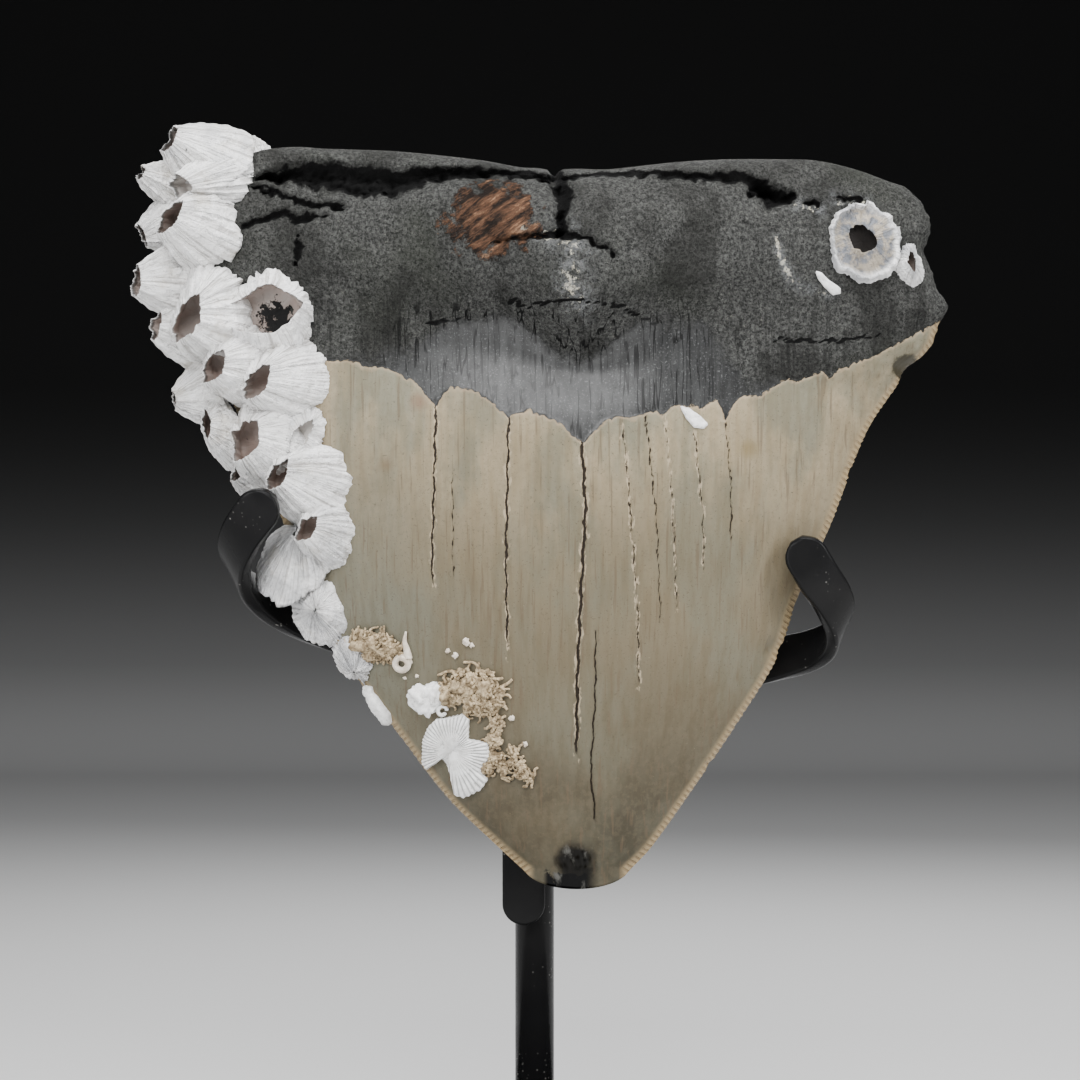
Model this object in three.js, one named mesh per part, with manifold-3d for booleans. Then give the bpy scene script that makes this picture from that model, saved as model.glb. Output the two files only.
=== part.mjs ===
// A fossil shark tooth overgrown with acorn barnacles, held in a black steel display stand.
// Millimetres, +Z up, -Y towards the viewer. The origin is the centre of the base's underside.
import * as THREE from "three";
import { mergeVertices } from "three/addons/utils/BufferGeometryUtils.js";
import Module from "manifold-3d";

const wasm = await Module();
wasm.setup();

// Driving dimensions of the stand
const BASE_RADIUS = 48;
const BASE_HEIGHT = 8;
const BASE_CHAMFER = 1;
const ROD_RADIUS = 3.6;
const ROD_BACK = 12; // the rod stands this far behind the middle of the base
const STRAP_WIDTH = 7.8;
const STRAP_THICKNESS = 2.6;
const STRAP_LEFT = 2; // the upright strap's middle is this far left of the rod
const STRAP_TOP = 62; // this and the next two are above the tooth's tip
const STRAP_BOTTOM = -7.8;
const ROD_TOP = 58;
const GAP = 0.3; // between pieces that touch

// Driving dimensions of the tooth, in its own frame: x from its midline, z above its tip
const TOOTH_RIGHT = 8.7; // the tooth's midline is this far right of the rod
const TIP_HEIGHT = 66;
const TOOTH_BACK_DEPTH = 7.6; // deepest point of the flat face behind the cutting edge
const TOOTH_COLUMNS = 18;
const TOOTH_ROWS = 20;
const LOW_ROW = 4;
const HIGH_ROW = 127;

const rodY = ROD_BACK;
const strapY = rodY - ROD_RADIUS - GAP - STRAP_THICKNESS / 2;
const toothY = strapY - STRAP_THICKNESS / 2 - GAP - TOOTH_BACK_DEPTH;

const clamp01 = (v) => Math.min(Math.max(v, 0), 1);
const smooth = (a, b, v) => {
  const k = clamp01((v - a) / (b - a));
  return k * k * (3 - 2 * k);
};
const mix = (a, b, k) => a + (b - a) * k;
const radians = THREE.MathUtils.degToRad;

// A smooth curve through [position, value] points, flat outside them.
function through(points) {
  const slopes = points.map((point, i) => {
    const before = points[Math.max(i - 1, 0)];
    const after = points[Math.min(i + 1, points.length - 1)];
    return (after[1] - before[1]) / (after[0] - before[0]);
  });
  return (position) => {
    let i = 0;
    while (i < points.length - 2 && position > points[i + 1][0]) i++;
    const [from, a] = points[i];
    const [to, b] = points[i + 1];
    const width = to - from;
    const k = clamp01((position - from) / width);
    const turn = k * (1 - k);
    return mix(a, b, k * k * (3 - 2 * k)) + turn * width * ((1 - k) * slopes[i] - k * slopes[i + 1]);
  };
}

// The tooth's outline: side edges by height, and the top edge across
const leftEdge = through([
  [4, -11], [8, -16], [16, -24], [27, -32.6], [35, -38.8], [43, -44], [56, -50.4],
  [74, -57], [90, -64.3], [100, -69], [107, -70.3], [115, -72], [122, -72], [127, -69.5],
]);
const rightEdge = through([
  [4, 8.5], [8, 12.4], [17, 19], [30, 28], [42, 35.3], [52, 38.6], [66, 44.9], [82, 51.1],
  [91, 57], [98, 62.9], [104.6, 65.8], [108, 63.9], [115, 61.5], [119, 62.7], [123, 61.4], [127, 58],
]);
const topEdge = through([
  [-70, 128], [-59, 132.8], [-51, 133.7], [-28, 132.3], [-11, 129.7], [-5.2, 128],
  [0, 129.2], [12, 130.2], [26, 131.3], [42, 131.2], [50, 129.5], [58, 127],
]);

// Half thicknesses on the midline, in front of and behind the cutting edge
const frontDepth = through([
  [0, 1.6], [5, 3.4], [15, 6.2], [30, 9.2], [50, 12], [70, 13.4], [84, 13.6], [98, 13.4], [110, 14], [133, 13],
]);
const backDepth = through([[0, 1.2], [15, 3.6], [40, 6], [70, 7], [95, 6.4], [112, 7.5], [133, 6.5]]);
const boss = through([[88, 0], [96, 1.2], [103, 5], [109, 7.4], [117, 7.4], [126, 4.5], [133, 2]]);
const BOSS_HALF_WIDTH = 27;
const ENAMEL = 0.5;
const CROWN_EDGE = 0.5;
const ROOT_EDGE = 2.6;
const TOP_ROUND = 11;

// Furrows and cracks in the root's face: [x, z, half width] points and a depth
const FURROWS = [
  {
    depth: 3.2,
    line: [
      [-50.4, 127.8, 0.4], [-46, 127.8, 2.4], [-38, 126.6, 2.6], [-28, 127.6, 1.7], [-15, 127.8, 1], [-5, 127, 0.3],
    ],
  },
  { depth: 1.8, line: [[-53.4, 123.6, 0.3], [-48, 122, 0.8], [-42, 122, 0.3]] },
  { depth: 1.6, line: [[-60.6, 118.6, 0.3], [-53, 120.4, 0.6], [-46, 120, 0.3]] },
  { depth: 2.8, line: [[-3.6, 127.6, 1.2], [-3.4, 122, 1.4], [-4.2, 116, 0.9]] },
  { depth: 1.8, line: [[-16, 114.6, 0.3], [-8, 115.6, 0.8], [4.2, 113.4, 0.4]] },
  {
    depth: 3,
    line: [[10.6, 128.2, 0.3], [22, 127.4, 0.9], [30, 125.6, 1.2], [33, 123.4, 1.9], [36.4, 123.4, 1.2]],
  },
];

// How far the tooth's front (side -1) or back (side 1) stands from its edge plane at x, z.
function depthAt(x, z, side) {
  const left = leftEdge(z);
  const right = rightEdge(z);
  const across = Math.min(Math.abs((2 * x - left - right) / (right - left)), 1);
  const root = smooth(86, 104, z);
  const crownShape = Math.pow(1 - Math.pow(across, 2), side < 0 ? 0.8 : 0.65);
  const rootShape = Math.pow(1 - Math.pow(across, 4), 0.5);
  const lobes = mix(0.66, 1, Math.exp(-Math.pow(x / 34, 2)));
  const below = clamp01((topEdge(x) - z) / TOP_ROUND);
  const round = Math.sqrt(1 - Math.pow(1 - below, 2));
  const edge = mix(CROWN_EDGE, ROOT_EDGE, root);
  const middle = (side < 0 ? frontDepth : backDepth)(z);
  let depth = (middle - edge) * mix(crownShape, rootShape * lobes, root) * mix(1, round, root) + edge;
  if (side < 0) {
    depth += boss(z) * Math.exp(-Math.pow((x + 2) / BOSS_HALF_WIDTH, 2)) * mix(0.4, 1, round);
  }
  return depth;
}

// A solid of a closed geometry, and a mesh of a solid
function solidOf(geometry) {
  const bare = new THREE.BufferGeometry();
  bare.setAttribute("position", geometry.getAttribute("position").clone());
  if (geometry.index) bare.setIndex(geometry.index.clone());
  const merged = mergeVertices(bare, 1e-4);
  return new wasm.Manifold(
    new wasm.Mesh({
      numProp: 3,
      vertProperties: new Float32Array(merged.getAttribute("position").array),
      triVerts: new Uint32Array(merged.index.array),
    }),
  );
}

// The solid of a shape whose mapping may have turned it inside out
function facingOut(geometry) {
  const solid = solidOf(geometry);
  if (solid.volume() > 0) return solid;
  const turned = mergeVertices(geometry.clone().deleteAttribute("normal").deleteAttribute("uv"));
  const corners = turned.index.array;
  for (let i = 0; i < corners.length; i += 3) [corners[i], corners[i + 1]] = [corners[i + 1], corners[i]];
  return solidOf(turned);
}

function geometryOf(solid) {
  const made = solid.getMesh();
  const geometry = new THREE.BufferGeometry();
  geometry.setAttribute("position", new THREE.BufferAttribute(made.vertProperties, 3));
  geometry.setIndex(new THREE.BufferAttribute(made.triVerts, 1));
  return geometry;
}

const flatShape = (points) => new THREE.Shape(points.map(([x, z]) => new THREE.Vector2(x, z)));

// Moves each vertex of a geometry by a function of its place.
function shaped(geometry, place) {
  const positions = geometry.getAttribute("position");
  const vertex = new THREE.Vector3();
  for (let i = 0; i < positions.count; i++) {
    place(vertex.fromBufferAttribute(positions, i));
    positions.setXYZ(i, vertex.x, vertex.y, vertex.z);
  }
  return geometry;
}

// The tooth's body: a box whose front and back grids are drawn out to its outline, fatter all round by grow
function toothBody(grow = 0) {
  const box = new THREE.BoxGeometry(2, 2, 2, TOOTH_COLUMNS, TOOTH_ROWS, 2);
  shaped(box, (v) => {
    const side = -v.z;
    const across = mix(v.x, Math.sin((v.x * Math.PI) / 2), 0.55);
    const up = mix((v.y + 1) / 2, Math.sin(((v.y + 1) * Math.PI) / 4), 0.3);
    const row = mix(LOW_ROW, HIGH_ROW, up);
    let x = mix(leftEdge(row), rightEdge(row), (across + 1) / 2);
    let z = row + (topEdge(x) - HIGH_ROW) * Math.pow(up, 8);
    z -= LOW_ROW * Math.sqrt(1 - across * across) * Math.pow(1 - up, 8);
    const depth = Math.abs(side) < 0.5 ? 0 : side * (depthAt(x, z, side) + grow);
    const root = smooth(86, 104, z);
    const rounding = side * side;
    if (Math.abs(v.x) === 1) x += v.x * (grow - mix(ENAMEL, 0, root) - mix(0.3, 1.6, root) * rounding);
    if (v.y === 1) z += grow - 1.6 * rounding;
    if (v.y === -1) z -= grow - ENAMEL - 0.3 * rounding;
    v.set(x, depth, z);
  });
  return solidOf(box).translate([TOOTH_RIGHT, toothY, TIP_HEIGHT]);
}

// The enamel of the crown stands a little proud of the root, down from a scalloped border: front and back.
const ENAMEL_FRONT = [
  [-46, 94.6], [-39, 93.4], [-32, 92.4], [-26, 86.6], [-21, 89.6], [-14, 85], [-7, 84.6], [-0.4, 80],
  [4, 83.8], [10, 85], [15, 86.4], [20, 88], [25, 84.6], [33, 90], [40, 92.4], [50, 94.8], [58, 98.4],
];
const ENAMEL_BACK = [[-66, 98], [-50, 95], [-30, 91], [0, 88], [30, 91], [48, 95], [58, 98.4]];

function crownPrism(border, side) {
  const below = [[80, 98], [80, -10], [-90, -10], [-90, 96]];
  const slab = new THREE.ExtrudeGeometry(flatShape([...border, ...below]), { depth: 40, bevelEnabled: false });
  const past = 0.4; // both prisms reach a little past the edge plane
  const back = side < 0 ? past : 40 - past;
  return solidOf(slab.rotateX(Math.PI / 2)).translate([TOOTH_RIGHT, toothY + back, TIP_HEIGHT]);
}

function wholeTooth(grow = 0) {
  const enamel = toothBody(ENAMEL + grow);
  return toothBody(grow)
    .add(enamel.intersect(crownPrism(ENAMEL_FRONT, -1)))
    .add(enamel.intersect(crownPrism(ENAMEL_BACK, 1)));
}

// A point of the part from one on the tooth
const fromTooth = (x, y, z) => new THREE.Vector3(x + TOOTH_RIGHT, y + toothY, z + TIP_HEIGHT);

// A bar of the prongs' steel along a curve, flat side away from a core line, with a round tip
function barAlong(points, corePoint, coreDirection, steps, grow = 0) {
  const curve = new THREE.CatmullRomCurve3(points, false, "centripetal");
  const length = curve.getLength();
  const halfWidth = STRAP_WIDTH / 2 + grow;
  const core = new THREE.Line3(
    corePoint.clone().addScaledVector(coreDirection, -300),
    corePoint.clone().addScaledVector(coreDirection, 300),
  );
  const away = new THREE.Vector3();
  const bar = new THREE.BoxGeometry(2, 2, 2, steps, 1, 1);
  shaped(bar, (v) => {
    const [across, through] = [v.y, v.z];
    const along = Math.pow(clamp01((v.x + 1) / 2), 0.9);
    const toTip = (1 - along) * length;
    const middle = curve.getPointAt(along);
    const tangent = curve.getTangentAt(along);
    core.closestPointToPoint(middle, false, away);
    away.subVectors(middle, away);
    const flat = smooth(0.0, 0.5, along);
    away.normalize().lerp(new THREE.Vector3(0, 1, 0), 1 - flat);
    away.addScaledVector(tangent, -away.dot(tangent)).normalize();
    const wide = new THREE.Vector3().crossVectors(away, tangent);
    const short = clamp01(1 - toTip / (STRAP_WIDTH / 2));
    const half = Math.max(halfWidth * Math.sqrt(1 - short * short), 1.2);
    v.copy(middle)
      .addScaledVector(wide, -across * half)
      .addScaledVector(away, through * (STRAP_THICKNESS / 2 + grow));
  });
  return facingOut(bar);
}

// The prongs leave the sides of the upright strap behind the tooth and hook round its edges.
// Each point is x from the rod, the way forward from the strap, and z above the tip.
const PRONGS = {
  prong_right: {
    path: [
      [2.2, 0, 34.2], [16, 0, 35.6], [30, 0, 37.9], [44.7, 0, 41], [50.6, 1.6, 42.6], [54, 5.5, 44.8],
      [55, 10.5, 48], [53.4, 14.6, 52], [50.3, 16.8, 56.6], [46.6, 17.2, 63],
    ],
    core: [46, 8, 52],
    edge: [0.43, 0, 0.9],
  },
  prong_left: {
    path: [
      [-6.2, 0, 38.6], [-22, 0, 41.8], [-34, 0, 45.4], [-43, 1, 48.6], [-49, 4, 51.8], [-52.8, 9, 55.4],
      [-53.6, 14.6, 59.4], [-52, 19.6, 63.4], [-49.4, 22.6, 67], [-46.4, 24, 71],
    ],
    core: [-43, 9, 60],
    edge: [-0.43, 0, 0.9],
  },
};

function prongSolid({ path, core, edge }, grow = 0) {
  const place = ([x, forward, z]) => new THREE.Vector3(x, strapY - forward, z + TIP_HEIGHT);
  return barAlong(path.map(place), place(core), new THREE.Vector3(...edge).normalize(), 20, grow);
}

// The upright strap with round ends
function strapSolid() {
  const half = STRAP_WIDTH / 2;
  const shape = new THREE.Shape();
  shape.absarc(0, STRAP_TOP - half, half, 0, Math.PI);
  shape.absarc(0, STRAP_BOTTOM + half, half, Math.PI, 2 * Math.PI);
  const bar = new THREE.ExtrudeGeometry(shape, { depth: STRAP_THICKNESS, bevelEnabled: false, curveSegments: 6 });
  bar.rotateX(Math.PI / 2);
  return solidOf(bar).translate([-STRAP_LEFT, strapY + STRAP_THICKNESS / 2, TIP_HEIGHT]);
}

function baseSolid() {
  const profile = [
    [0, 0], [BASE_RADIUS - BASE_CHAMFER, 0], [BASE_RADIUS, BASE_CHAMFER],
    [BASE_RADIUS, BASE_HEIGHT - BASE_CHAMFER], [BASE_RADIUS - BASE_CHAMFER, BASE_HEIGHT], [0, BASE_HEIGHT],
  ].map(([x, y]) => new THREE.Vector2(x, y));
  return solidOf(new THREE.LatheGeometry(profile, 36).rotateX(Math.PI / 2));
}

function rodSolid() {
  const height = TIP_HEIGHT + ROD_TOP - BASE_HEIGHT;
  const rod = new THREE.CylinderGeometry(ROD_RADIUS, ROD_RADIUS, height, 18);
  return solidOf(rod.rotateX(Math.PI / 2)).translate([0, rodY, BASE_HEIGHT + height / 2]);
}

// Acorn barnacles. at: x and z of the base's middle, with its way behind the edge plane where it isn't on the
// tooth's front. base: its radius. mouth: right, forward and up from there. open: the mouth's length and width,
// and its turn in degrees. lean: degrees by which the base turns from the viewer, and to which side.
const BARNACLES = {
  top_far: { at: [-62, 131, 1.4], base: 5.6, mouth: [0.6, 0.8, 4.6], open: [3, 1.8, 20], lean: [85, 95] },
  top_large: { at: [-66, 131, -4], base: 8.2, mouth: [-7.1, 4.6, 2.9], open: [4.4, 2.6, 45], lean: [50, 145] },
  top_wedge: { at: [-64, 128], base: 6.2, mouth: [-7.2, 5.4, -2.6], open: [6, 3.2, 5], lean: [38, 200] },
  corner: { at: [-74.4, 127, -1], base: 5.6, mouth: [-4.2, 4.8, 1.2], open: [2.4, 1.4, 25], lean: [65, 165] },
  rim_1: { at: [-74.6, 121.2, -0.6], base: 6, mouth: [-4.2, 2.4, -3.6], open: [3.6, 2.4, 70], lean: [74, 190] },
  shoulder: { at: [-68.4, 118.2], base: 8.2, mouth: [-4.3, 8, 1.3], open: [6.6, 2.8, 42], lean: [35, 180] },
  rim_2: { at: [-73.4, 108.6, -1], base: 7, mouth: [-6.2, 4, 0.3], open: [4.6, 3.2, 60], lean: [60, 180] },
  large: { at: [-67.4, 102.8], base: 9.4, mouth: [-2.2, 9.4, -0.8], open: [8, 4, 60], lean: [32, 185] },
  rim_3: { at: [-72, 99.4, -1], base: 6.6, mouth: [-4.2, 3, 1.7], open: [4.6, 2.8, 75], lean: [64, 185] },
  broken: { at: [-55.8, 102.4], base: 7.8, mouth: [-0.8, 5, 0.9], open: [13.4, 7.2, 10], lean: [14, 180] },
  pair_left: { at: [-61, 93.4], base: 7.8, mouth: [-4.2, 7.4, 0], open: [6, 3.6, 48], lean: [30, 180] },
  pair_right: { at: [-51.8, 91.6], base: 7.4, mouth: [-5.5, 7.4, -1], open: [6.8, 3.6, 46], lean: [18, 180] },
  rim_4: { at: [-68, 88.4, -1], base: 6.8, mouth: [-5.2, 1.8, -0.4], open: [3, 1.6, 80], lean: [72, 195] },
  slit: { at: [-65.8, 80.8, -2], base: 6.6, mouth: [-1, 6, 2.4], open: [4.4, 1.5, 100], lean: [54, 195] },
  middle: { at: [-56, 78.6], base: 8.8, mouth: [-3.6, 8.6, 1.8], open: [6.8, 4.6, 60], lean: [26, 190] },
  side_mouth: { at: [-50, 82], base: 5, mouth: [0, 4, -0.7], open: [6, 2.4, 55], lean: [8, 0] },
  ribbed: { at: [-48.6, 72], base: 8.2, mouth: [-5.4, 7.4, 2.1], open: [5.4, 3.2, 50], lean: [18, 180] },
  rim_5: { at: [-60, 73.4, -2], base: 6, mouth: [-1.6, 4.6, 1.4], open: [3, 1.8, 60], lean: [48, 200] },
  lower: { at: [-45.4, 63.8], base: 6.8, mouth: [-3.6, 7, 1.3], open: [5, 3, 40], lean: [20, 185] },
  under_prong: { at: [-53.2, 58, -2.4], base: 8.4, mouth: [3, 4.4, 6], open: [2.8, 1.8, 45], lean: [40, 140] },
  worn: { at: [-49, 49.2, -2], base: 7, mouth: [1.2, 4.6, 1], open: [3.6, 2.6, 60], lean: [36, 205] },
  lowest: { at: [-42.4, 41, -1.4], base: 5.2, mouth: [1.4, 3.4, -1.7], open: [2.4, 1.4, -30], lean: [30, 205] },
  ring: { at: [50.4, 115.6], base: 7.2, mouth: [-0.6, 3.4, 0.3], open: [8.4, 6.6, -25], lean: [10, 10] },
  ring_small: { at: [58.8, 111.8], base: 3.5, mouth: [-0.4, 2.6, 0.4], open: [3, 1.4, 100], lean: [30, 0] },
  back_upper: { at: [-67, 118, 2.4], base: 6.6, mouth: [-2.4, -6, 1], open: [4.4, 2.8, 120], lean: [142, 180] },
  back_middle: { at: [-64.6, 104, 2], base: 6, mouth: [-1.6, -5.4, -1], open: [4, 2.4, 60], lean: [148, 190] },
  back_lower: { at: [-59.4, 88, 2], base: 5.4, mouth: [-1.4, -4.8, 0.8], open: [3.4, 2.2, 110], lean: [146, 195] },
};
const BARNACLE_SIDES = 10;
const RIB_RISE = 0.06;
const BASE_SINK = 3.2;

// Rings of the shell from its foot to the floor of its pit: the share of the way to the mouth, the share of
// the change from the base's size to the mouth's, and how far inside that size
const SHELL_RINGS = [
  { share: 0, taper: 0, inset: 0, sunk: true },
  { share: 0.5, taper: 0.46, inset: 0 },
  { share: 1, taper: 1, inset: 0 },
  { share: 1, taper: 1, inset: 0.5 },
  { share: 0.55, taper: 0.86, inset: 1 },
];

function barnacleSolid({ at, base, mouth, open, lean }, grow = 0) {
  const [x, z, y = -depthAt(x, z, -1)] = at;
  const foot = fromTooth(x, y, z);
  const [tilt, side] = lean.map(radians);
  const face = new THREE.Vector3(Math.sin(tilt) * Math.cos(side), -Math.cos(tilt), Math.sin(tilt) * Math.sin(side));
  const [right, forward, up] = mouth;
  const reach = new THREE.Vector3(right, -forward, up);
  const lipFace = face.clone().lerp(reach.clone().normalize(), 0.6).normalize();
  const [length, width, turn] = open;
  const long = new THREE.Vector3(Math.cos(radians(turn)), 0, Math.sin(radians(turn)));
  const axes = (normal) => {
    const first = long.clone().addScaledVector(normal, -long.dot(normal)).normalize();
    return [first, new THREE.Vector3().crossVectors(normal, first)];
  };
  const [[footLong, footWide], [lipLong, lipWide]] = [axes(face), axes(lipFace)];

  // A fattened shell is only for cutting others, so it has no pit.
  const rings = grow > 0 ? SHELL_RINGS.slice(0, 3) : SHELL_RINGS;
  const shell = new THREE.SphereGeometry(1, BARNACLE_SIDES, rings.length + 1);
  const places = shell.getAttribute("position");
  for (let i = 0; i < places.count; i++) {
    const row = Math.floor(i / (BARNACLE_SIDES + 1));
    const step = (i % (BARNACLE_SIDES + 1)) % BARNACLE_SIDES;
    const ring = rings[Math.min(Math.max(row - 1, 0), rings.length - 1)];
    const point = foot.clone().addScaledVector(reach, ring.share);
    if (ring.sunk) point.addScaledVector(face, -BASE_SINK - grow);
    if (ring.share === 1) point.addScaledVector(lipFace, grow);
    if (row > 0 && row <= rings.length) {
      const angle = (step * 2 * Math.PI) / BARNACLE_SIDES;
      const rib = 1 + RIB_RISE * (1 - ring.share) * (step % 2 ? -1 : 1);
      const radius = (mouthSize) => Math.max(mix(base, mouthSize / 2, ring.taper) * rib - ring.inset + grow, 0.3);
      point.addScaledVector(lipLong.clone().lerp(footLong, 1 - ring.share), Math.cos(angle) * radius(length));
      point.addScaledVector(lipWide.clone().lerp(footWide, 1 - ring.share), Math.sin(angle) * radius(width));
    }
    places.setXYZ(i, point.x, point.y, point.z);
  }
  return facingOut(shell);
}

// Small growths on the crown and root
function lumps(spots) {
  return spots
    .map(([x, z, radius, rise]) => {
      const lump = new THREE.DodecahedronGeometry(radius);
      const place = fromTooth(x, -depthAt(x, z, -1) - ENAMEL - rise, z);
      return solidOf(lump).translate([place.x, place.y, place.z]);
    })
    .reduce((all, lump) => all.add(lump));
}

// A slab under an outline on the tooth's front, from sunk below its face to raised above it
function plate(outline, raised, sunk) {
  const slab = new THREE.ExtrudeGeometry(flatShape(outline), { depth: raised + sunk, bevelEnabled: false });
  shaped(slab, (v) => v.copy(fromTooth(v.x, -depthAt(v.x, v.y, -1) + sunk - v.z, v.y)));
  return facingOut(slab);
}

// A long narrow cut along [x, z, half width] points of the root's face
function furrow({ line, depth }) {
  const upper = line.map(([x, z, half]) => [x + 0.3 * half, z + half]);
  const lower = line.map(([x, z, half]) => [x - 0.3 * half, z - half]).reverse();
  return plate([...upper, ...lower], 4, depth);
}

const FAN_OUTLINE = [
  [-27.4, 29.6], [-26, 31], [-21, 32], [-20.2, 31.2], [-20.4, 27.4], [-16.7, 26.9], [-16.6, 24.4],
  [-18.1, 21.7], [-16.9, 20.3], [-18.1, 18.4], [-21, 16.9], [-22.8, 17.3], [-23.3, 20.3], [-24, 23],
  [-25, 24.1], [-26.2, 23], [-27.6, 21.7], [-28.5, 23], [-28.4, 27.1],
];

const GROWTHS = {
  tube_crust_upper: () => lumps([[-39, 44.6, 2.8, 0.2], [-36.2, 44, 3, 0.6], [-34, 43.4, 2.4, 0.2]]),
  tube_crust_lower: () =>
    lumps([[-23.4, 35.8, 2.9, 0.4], [-20.4, 37.6, 3.6, 0.8], [-16.8, 36.8, 3.2, 0.6], [-19, 34, 2.8, 0.4]]),
  tube_crust_tail: () => lumps([[-14.8, 30.4, 2, 0.2], [-15.2, 27, 2.2, 0.4], [-14.9, 23.4, 2.2, 0.2]]),
  tube_crust_strand: () => lumps([[-12.4, 25, 1.7, 0.1], [-10.8, 22, 1.8, 0.2]]),
  shell_knob: () => lumps([[-28.2, 34.8, 2.4, 0.5], [-26.2, 35.8, 1.6, 0.3]]),
  shell_fan: () => plate(FAN_OUTLINE, 1.6, 0.4),
  coiled_worm_tube: () => {
    const place = fromTooth(-32, -depthAt(-32, 41, -1) - 1.5, 41);
    const ring = new THREE.TorusGeometry(1.25, 0.62, 5, 8).rotateX(Math.PI / 2);
    return solidOf(ring).translate([place.x, place.y, place.z]);
  },
};

// Materials
const SHELL = new THREE.MeshStandardMaterial({ color: "#dcdad6", roughness: 0.8, metalness: 0 });
const CRUST = new THREE.MeshStandardMaterial({ color: "#b39c74", roughness: 0.95, metalness: 0 });
const TOOTH = new THREE.MeshStandardMaterial({ color: "#8d8676", roughness: 0.5, metalness: 0 });
const STEEL = new THREE.MeshStandardMaterial({ color: "#0b0b0c", roughness: 0.35, metalness: 0.2 });

const part = new THREE.Group();

// Adds a solid as a mesh. Slivers that a cut has left beside it are dropped.
function add(name, solid, material) {
  const largest = solid.decompose().reduce((a, b) => (b.volume() > a.volume() ? b : a));
  const mesh = new THREE.Mesh(geometryOf(largest), material);
  mesh.name = name;
  part.add(mesh);
}

const cracked = FURROWS.reduce((solid, cut) => solid.subtract(furrow(cut)), wholeTooth());
add("tooth", cracked, TOOTH);
add("base", baseSolid(), STEEL);
add("rod", rodSolid(), STEEL);
const strap = strapSolid();
add("back_strap", strap, STEEL);
let taken = wholeTooth(GAP);
for (const [name, prong] of Object.entries(PRONGS)) {
  add(name, prongSolid(prong).subtract(strap).subtract(taken), STEEL);
}
for (const prong of Object.values(PRONGS)) taken = taken.add(prongSolid(prong, GAP));

// Each barnacle is cut by the tooth and by those that overgrow it, so the ones on top come first.
const ON_TOP = [
  "pair_right", "ribbed", "broken", "lower", "middle", "pair_left", "large", "shoulder", "top_wedge", "top_large",
];
const order = [...ON_TOP, ...Object.keys(BARNACLES).filter((name) => !ON_TOP.includes(name))];
for (const name of order) {
  const barnacle = barnacleSolid(BARNACLES[name]);
  add(`barnacle_${name}`, barnacle.subtract(taken), SHELL);
  taken = taken.add(barnacle).add(barnacleSolid(BARNACLES[name], GAP));
}
for (const [name, make] of Object.entries(GROWTHS)) {
  const material = name.startsWith("tube") ? CRUST : SHELL;
  add(name, make().subtract(taken), material);
  taken = taken.add(make());
}

export default part;
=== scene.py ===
import math
import random

import bmesh
import bpy
import numpy as np
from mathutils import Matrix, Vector, noise
from mathutils.bvhtree import BVHTree


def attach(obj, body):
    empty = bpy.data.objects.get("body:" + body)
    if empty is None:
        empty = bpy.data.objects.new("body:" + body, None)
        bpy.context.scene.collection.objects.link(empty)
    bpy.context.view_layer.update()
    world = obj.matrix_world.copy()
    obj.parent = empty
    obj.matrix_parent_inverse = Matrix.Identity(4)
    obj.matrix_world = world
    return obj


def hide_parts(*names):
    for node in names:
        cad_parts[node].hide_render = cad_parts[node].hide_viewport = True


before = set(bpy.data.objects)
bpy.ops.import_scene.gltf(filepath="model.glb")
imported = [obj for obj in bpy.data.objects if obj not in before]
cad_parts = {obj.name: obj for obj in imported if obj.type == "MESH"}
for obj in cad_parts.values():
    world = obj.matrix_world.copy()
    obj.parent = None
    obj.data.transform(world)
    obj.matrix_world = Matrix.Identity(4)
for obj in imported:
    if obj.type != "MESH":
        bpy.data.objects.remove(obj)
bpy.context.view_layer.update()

# Studio: a sweep of card under and behind the object, pale below and dark above. Soft lights hang overhead,
# high in front, at both sides and behind, and a long lens stands level with the middle of the tooth.
MM = 0.001
PHOTO_WIDTH_MM = 192.2
LENS_MM, SENSOR_MM = 100, 36
FRAME_MIDDLE_MM, TOOTH_FRONT_MM = (1.0, 128.8), 10
LIGHTS = {
    "overhead_light": ((0.02, -0.16, 0.6), (0, -0.01, 0.13), (0.5, 0.26), 4.4),
    "front_light": ((-0.03, -0.52, 0.5), (0, 0, 0.15), (0.42, 0.16), 3.6),
    "left_light": ((-0.5, -0.5, 0.26), (0, 0, 0.13), (0.3, 0.4), 3.2),
    "right_light": ((0.55, -0.36, 0.36), (0, 0, 0.12), (0.2, 0.4), 4.4),
    "back_light": ((0.1, 0.5, 0.45), (0, 0, 0.14), (0.4, 0.3), 1.6),
}
SWEEP_HALF_WIDTH, SWEEP_FRONT, SWEEP_BEND, SWEEP_RADIUS, SWEEP_WALL = 2.5, -1.6, 1.1, 0.6, 1.5
CARD_STOPS = ((0, 0.8), (0.05, 0.3), (0.14, 0.04), (0.24, 0.001))


def link_object(name, data):
    made = bpy.data.objects.new(name, data)
    bpy.context.scene.collection.objects.link(made)
    return made


def smooth_object(name, mesh, material):
    data = bpy.data.meshes.new(name)
    mesh.to_mesh(data)
    mesh.free()
    data.polygons.foreach_set("use_smooth", [True] * len(data.polygons))
    data.materials.append(material)
    return link_object(name, data)


camera_data = bpy.data.cameras.new("camera")
camera_data.lens = LENS_MM
camera_data.sensor_width = SENSOR_MM
camera = link_object("camera", camera_data)
camera_y = -(PHOTO_WIDTH_MM * LENS_MM / SENSOR_MM + TOOTH_FRONT_MM)
camera.location = Vector((FRAME_MIDDLE_MM[0], camera_y, FRAME_MIDDLE_MM[1])) * MM
camera.rotation_euler = (math.radians(90), 0, 0)
bpy.context.scene.camera = camera

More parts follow.
